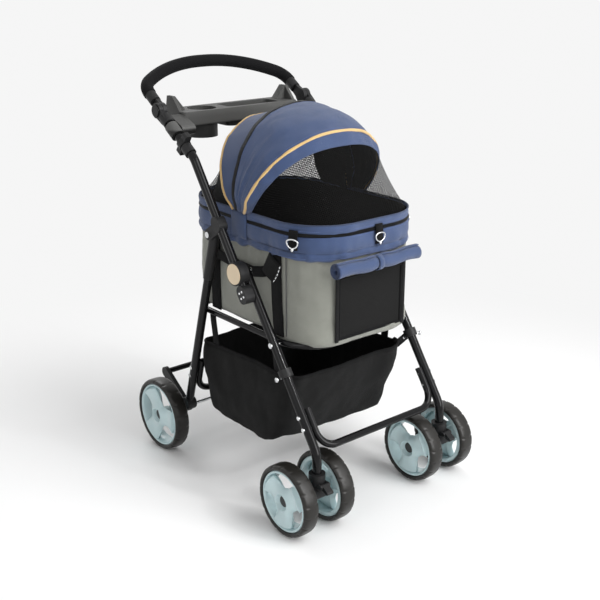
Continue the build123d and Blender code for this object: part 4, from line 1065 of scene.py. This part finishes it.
rake = math.atan2(LEG_RISE, LEG_RUN)
along_leg = np.array([0, math.cos(rake), math.sin(rake)])
across_leg = np.array([0, -math.sin(rake), math.cos(rake)])
lock_low, lock_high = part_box("tube_lock_blocks")
lock_mid = (lock_low + lock_high) / 2
collar_low, collar_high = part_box("leg_collars")
collar_mid = (collar_low + collar_high) / 2
for side, label in ((-1, "right"), (1, "left")):
    dome = [(side * (lock_high.x + h), r) for h, r in RIVET]
    rivets_at = [(u, v) for u in (-RIVET_U, RIVET_U) for v in (-RIVET_V, RIVET_V)]
    for k, (u, v) in enumerate(rivets_at):
        spot = np.array([0, lock_mid.y, lock_mid.z]) + along_leg * u * MM + across_leg * v * MM
        hard(lathe(f"{label}_lock_rivet_{k}", dome, spot, 20), "upper_frame", bright_steel)
    knob = [(side * (collar_high.x + x), r) for x, r in COLLAR_PIN]
    pin_at = (0, collar_mid.y - PIN_FORWARD, collar_mid.z - PIN_DROP)
    hard(lathe(f"{label}_collar_pin", knob, pin_at, 28), "front_frame", bright_steel)
    arm_path = place([(side * x, y, z) for x, y, z in BASKET_ARM])
    arm = ribbon(f"{label}_basket_arm", arm_path, (0, -1.0, 0.4), width=0.017, thickness=0.003)
    hard(arm, "front_frame", black_plastic)
    bolt_path = place([(side * x, y, z) for x, y, z in BASKET_BOLT])
    bolt = tube(f"{label}_basket_bolt", bolt_path, np.array([0.0042, 0.0030]), sides=16)
    hard(bolt, "front_frame", bright_steel)


# Camera, as fitted to the wheels and the frame

CAMERA_AT = (-1385.9, -1408.3, 1155.4)
YAW, PITCH = math.radians(39.92), math.radians(19.13)
SENSOR, LENS, CLIP_END = 36.0, 58.83, 300.0


def aim(obj, direction):
    """Turns a camera or a lamp to look along a direction."""
    obj.rotation_mode = "QUATERNION"
    obj.rotation_quaternion = Vector(direction).to_track_quat("-Z", "Y")


def add_to_scene(name, data):
    obj = bpy.data.objects.new(name, data)
    bpy.context.scene.collection.objects.link(obj)
    return obj


camera = add_to_scene("camera", bpy.data.cameras.new("camera"))
camera.location = place([CAMERA_AT])[0]
aim(camera, (math.sin(YAW) * math.cos(PITCH), math.cos(YAW) * math.cos(PITCH), -math.sin(PITCH)))
camera.data.sensor_width = SENSOR
camera.data.lens = LENS
camera.data.clip_end = CLIP_END
bpy.context.scene.camera = camera


# Floor, backdrop and lamps

FLOOR_HALF, FADE_FROM, FADE_TO = 80, 0.5, 1.5
PAPER = (0.92, 0.92, 0.92, 1)
WORLD_LIGHT = 0.47


def seen_rays(tree):
    """One for the rays that show the background: camera, mirror and see-through rays."""
    path = node(tree, "ShaderNodeLightPath")
    total = path.outputs["Is Camera Ray"]
    for other in ("Is Glossy Ray", "Is Transmission Ray"):
        total = maths(tree, "MAXIMUM", total, path.outputs[other])
    return total


def blended(tree, factor, first, second, output):
    """Sends a mix of two shaders to an output node."""
    n = node(tree, "ShaderNodeMixShader")
    for socket, source in zip(n.inputs, (factor, first.outputs[0], second.outputs[0])):
        tree.links.new(source, socket)
    tree.links.new(n.outputs[0], tree.nodes[output].inputs["Surface"])


corners = [(x * FLOOR_HALF, y * FLOOR_HALF, 0) for x, y in ((-1, -1), (1, -1), (1, 1), (-1, 1))]
floor = add_object("floor", corners, [(0, 1, 2, 3)])
floor_mat, floor_tree, floor_shader = base_material("studio_floor", (0.90, 0.90, 0.90), 0.75, specular=0.2)
paper = node(floor_tree, "ShaderNodeEmission", Color=PAPER, Strength=1.0)
away = node(floor_tree, "ShaderNodeVectorMath", operation="LENGTH")
floor_tree.links.new(node(floor_tree, "ShaderNodeTexCoord").outputs["Object"], away.inputs[0])
fade = ranged(floor_tree, away.outputs["Value"], FADE_FROM, FADE_TO, interpolation_type="SMOOTHSTEP")
seen = maths(floor_tree, "MULTIPLY", fade, seen_rays(floor_tree))
blended(floor_tree, seen, floor_shader, paper, "Material Output")
floor.data.materials.append(floor_mat)

world = bpy.data.worlds.new("studio")
world.use_nodes = True
light = world.node_tree.nodes["Background"]
light.inputs["Color"].default_value = (1, 1, 1, 1)
light.inputs["Strength"].default_value = WORLD_LIGHT
backdrop = node(world.node_tree, "ShaderNodeBackground", Color=PAPER, Strength=1.0)
blended(world.node_tree, seen_rays(world.node_tree), light, backdrop, "World Output")
bpy.context.scene.world = world
bpy.context.scene.view_settings.view_transform = "Standard"


def area_light(name, location, target_z, size, power):
    """A square lamp that looks at a height on the middle of the stage."""
    lamp = bpy.data.lights.new(name, "AREA")
    lamp.shape = "SQUARE"
    lamp.size = size
    lamp.energy = power
    obj = add_to_scene(name, lamp)
    obj.location = location
    aim(obj, Vector((0, 0, target_z)) - Vector(location))


area_light("key", (0.9, -2.2, 3.0), target_z=0.5, size=2.0, power=66)
area_light("front", (0.9, -3.2, 1.3), target_z=0.5, size=1.8, power=66)
area_light("sparkle", (0.9, -2.9, 2.6), target_z=0.5, size=0.12, power=15)
area_light("fill", (-2.8, -1.0, 2.2), target_z=0.5, size=1.6, power=14)
area_light("back", (0.4, 2.6, 2.6), target_z=0.6, size=1.6, power=36)
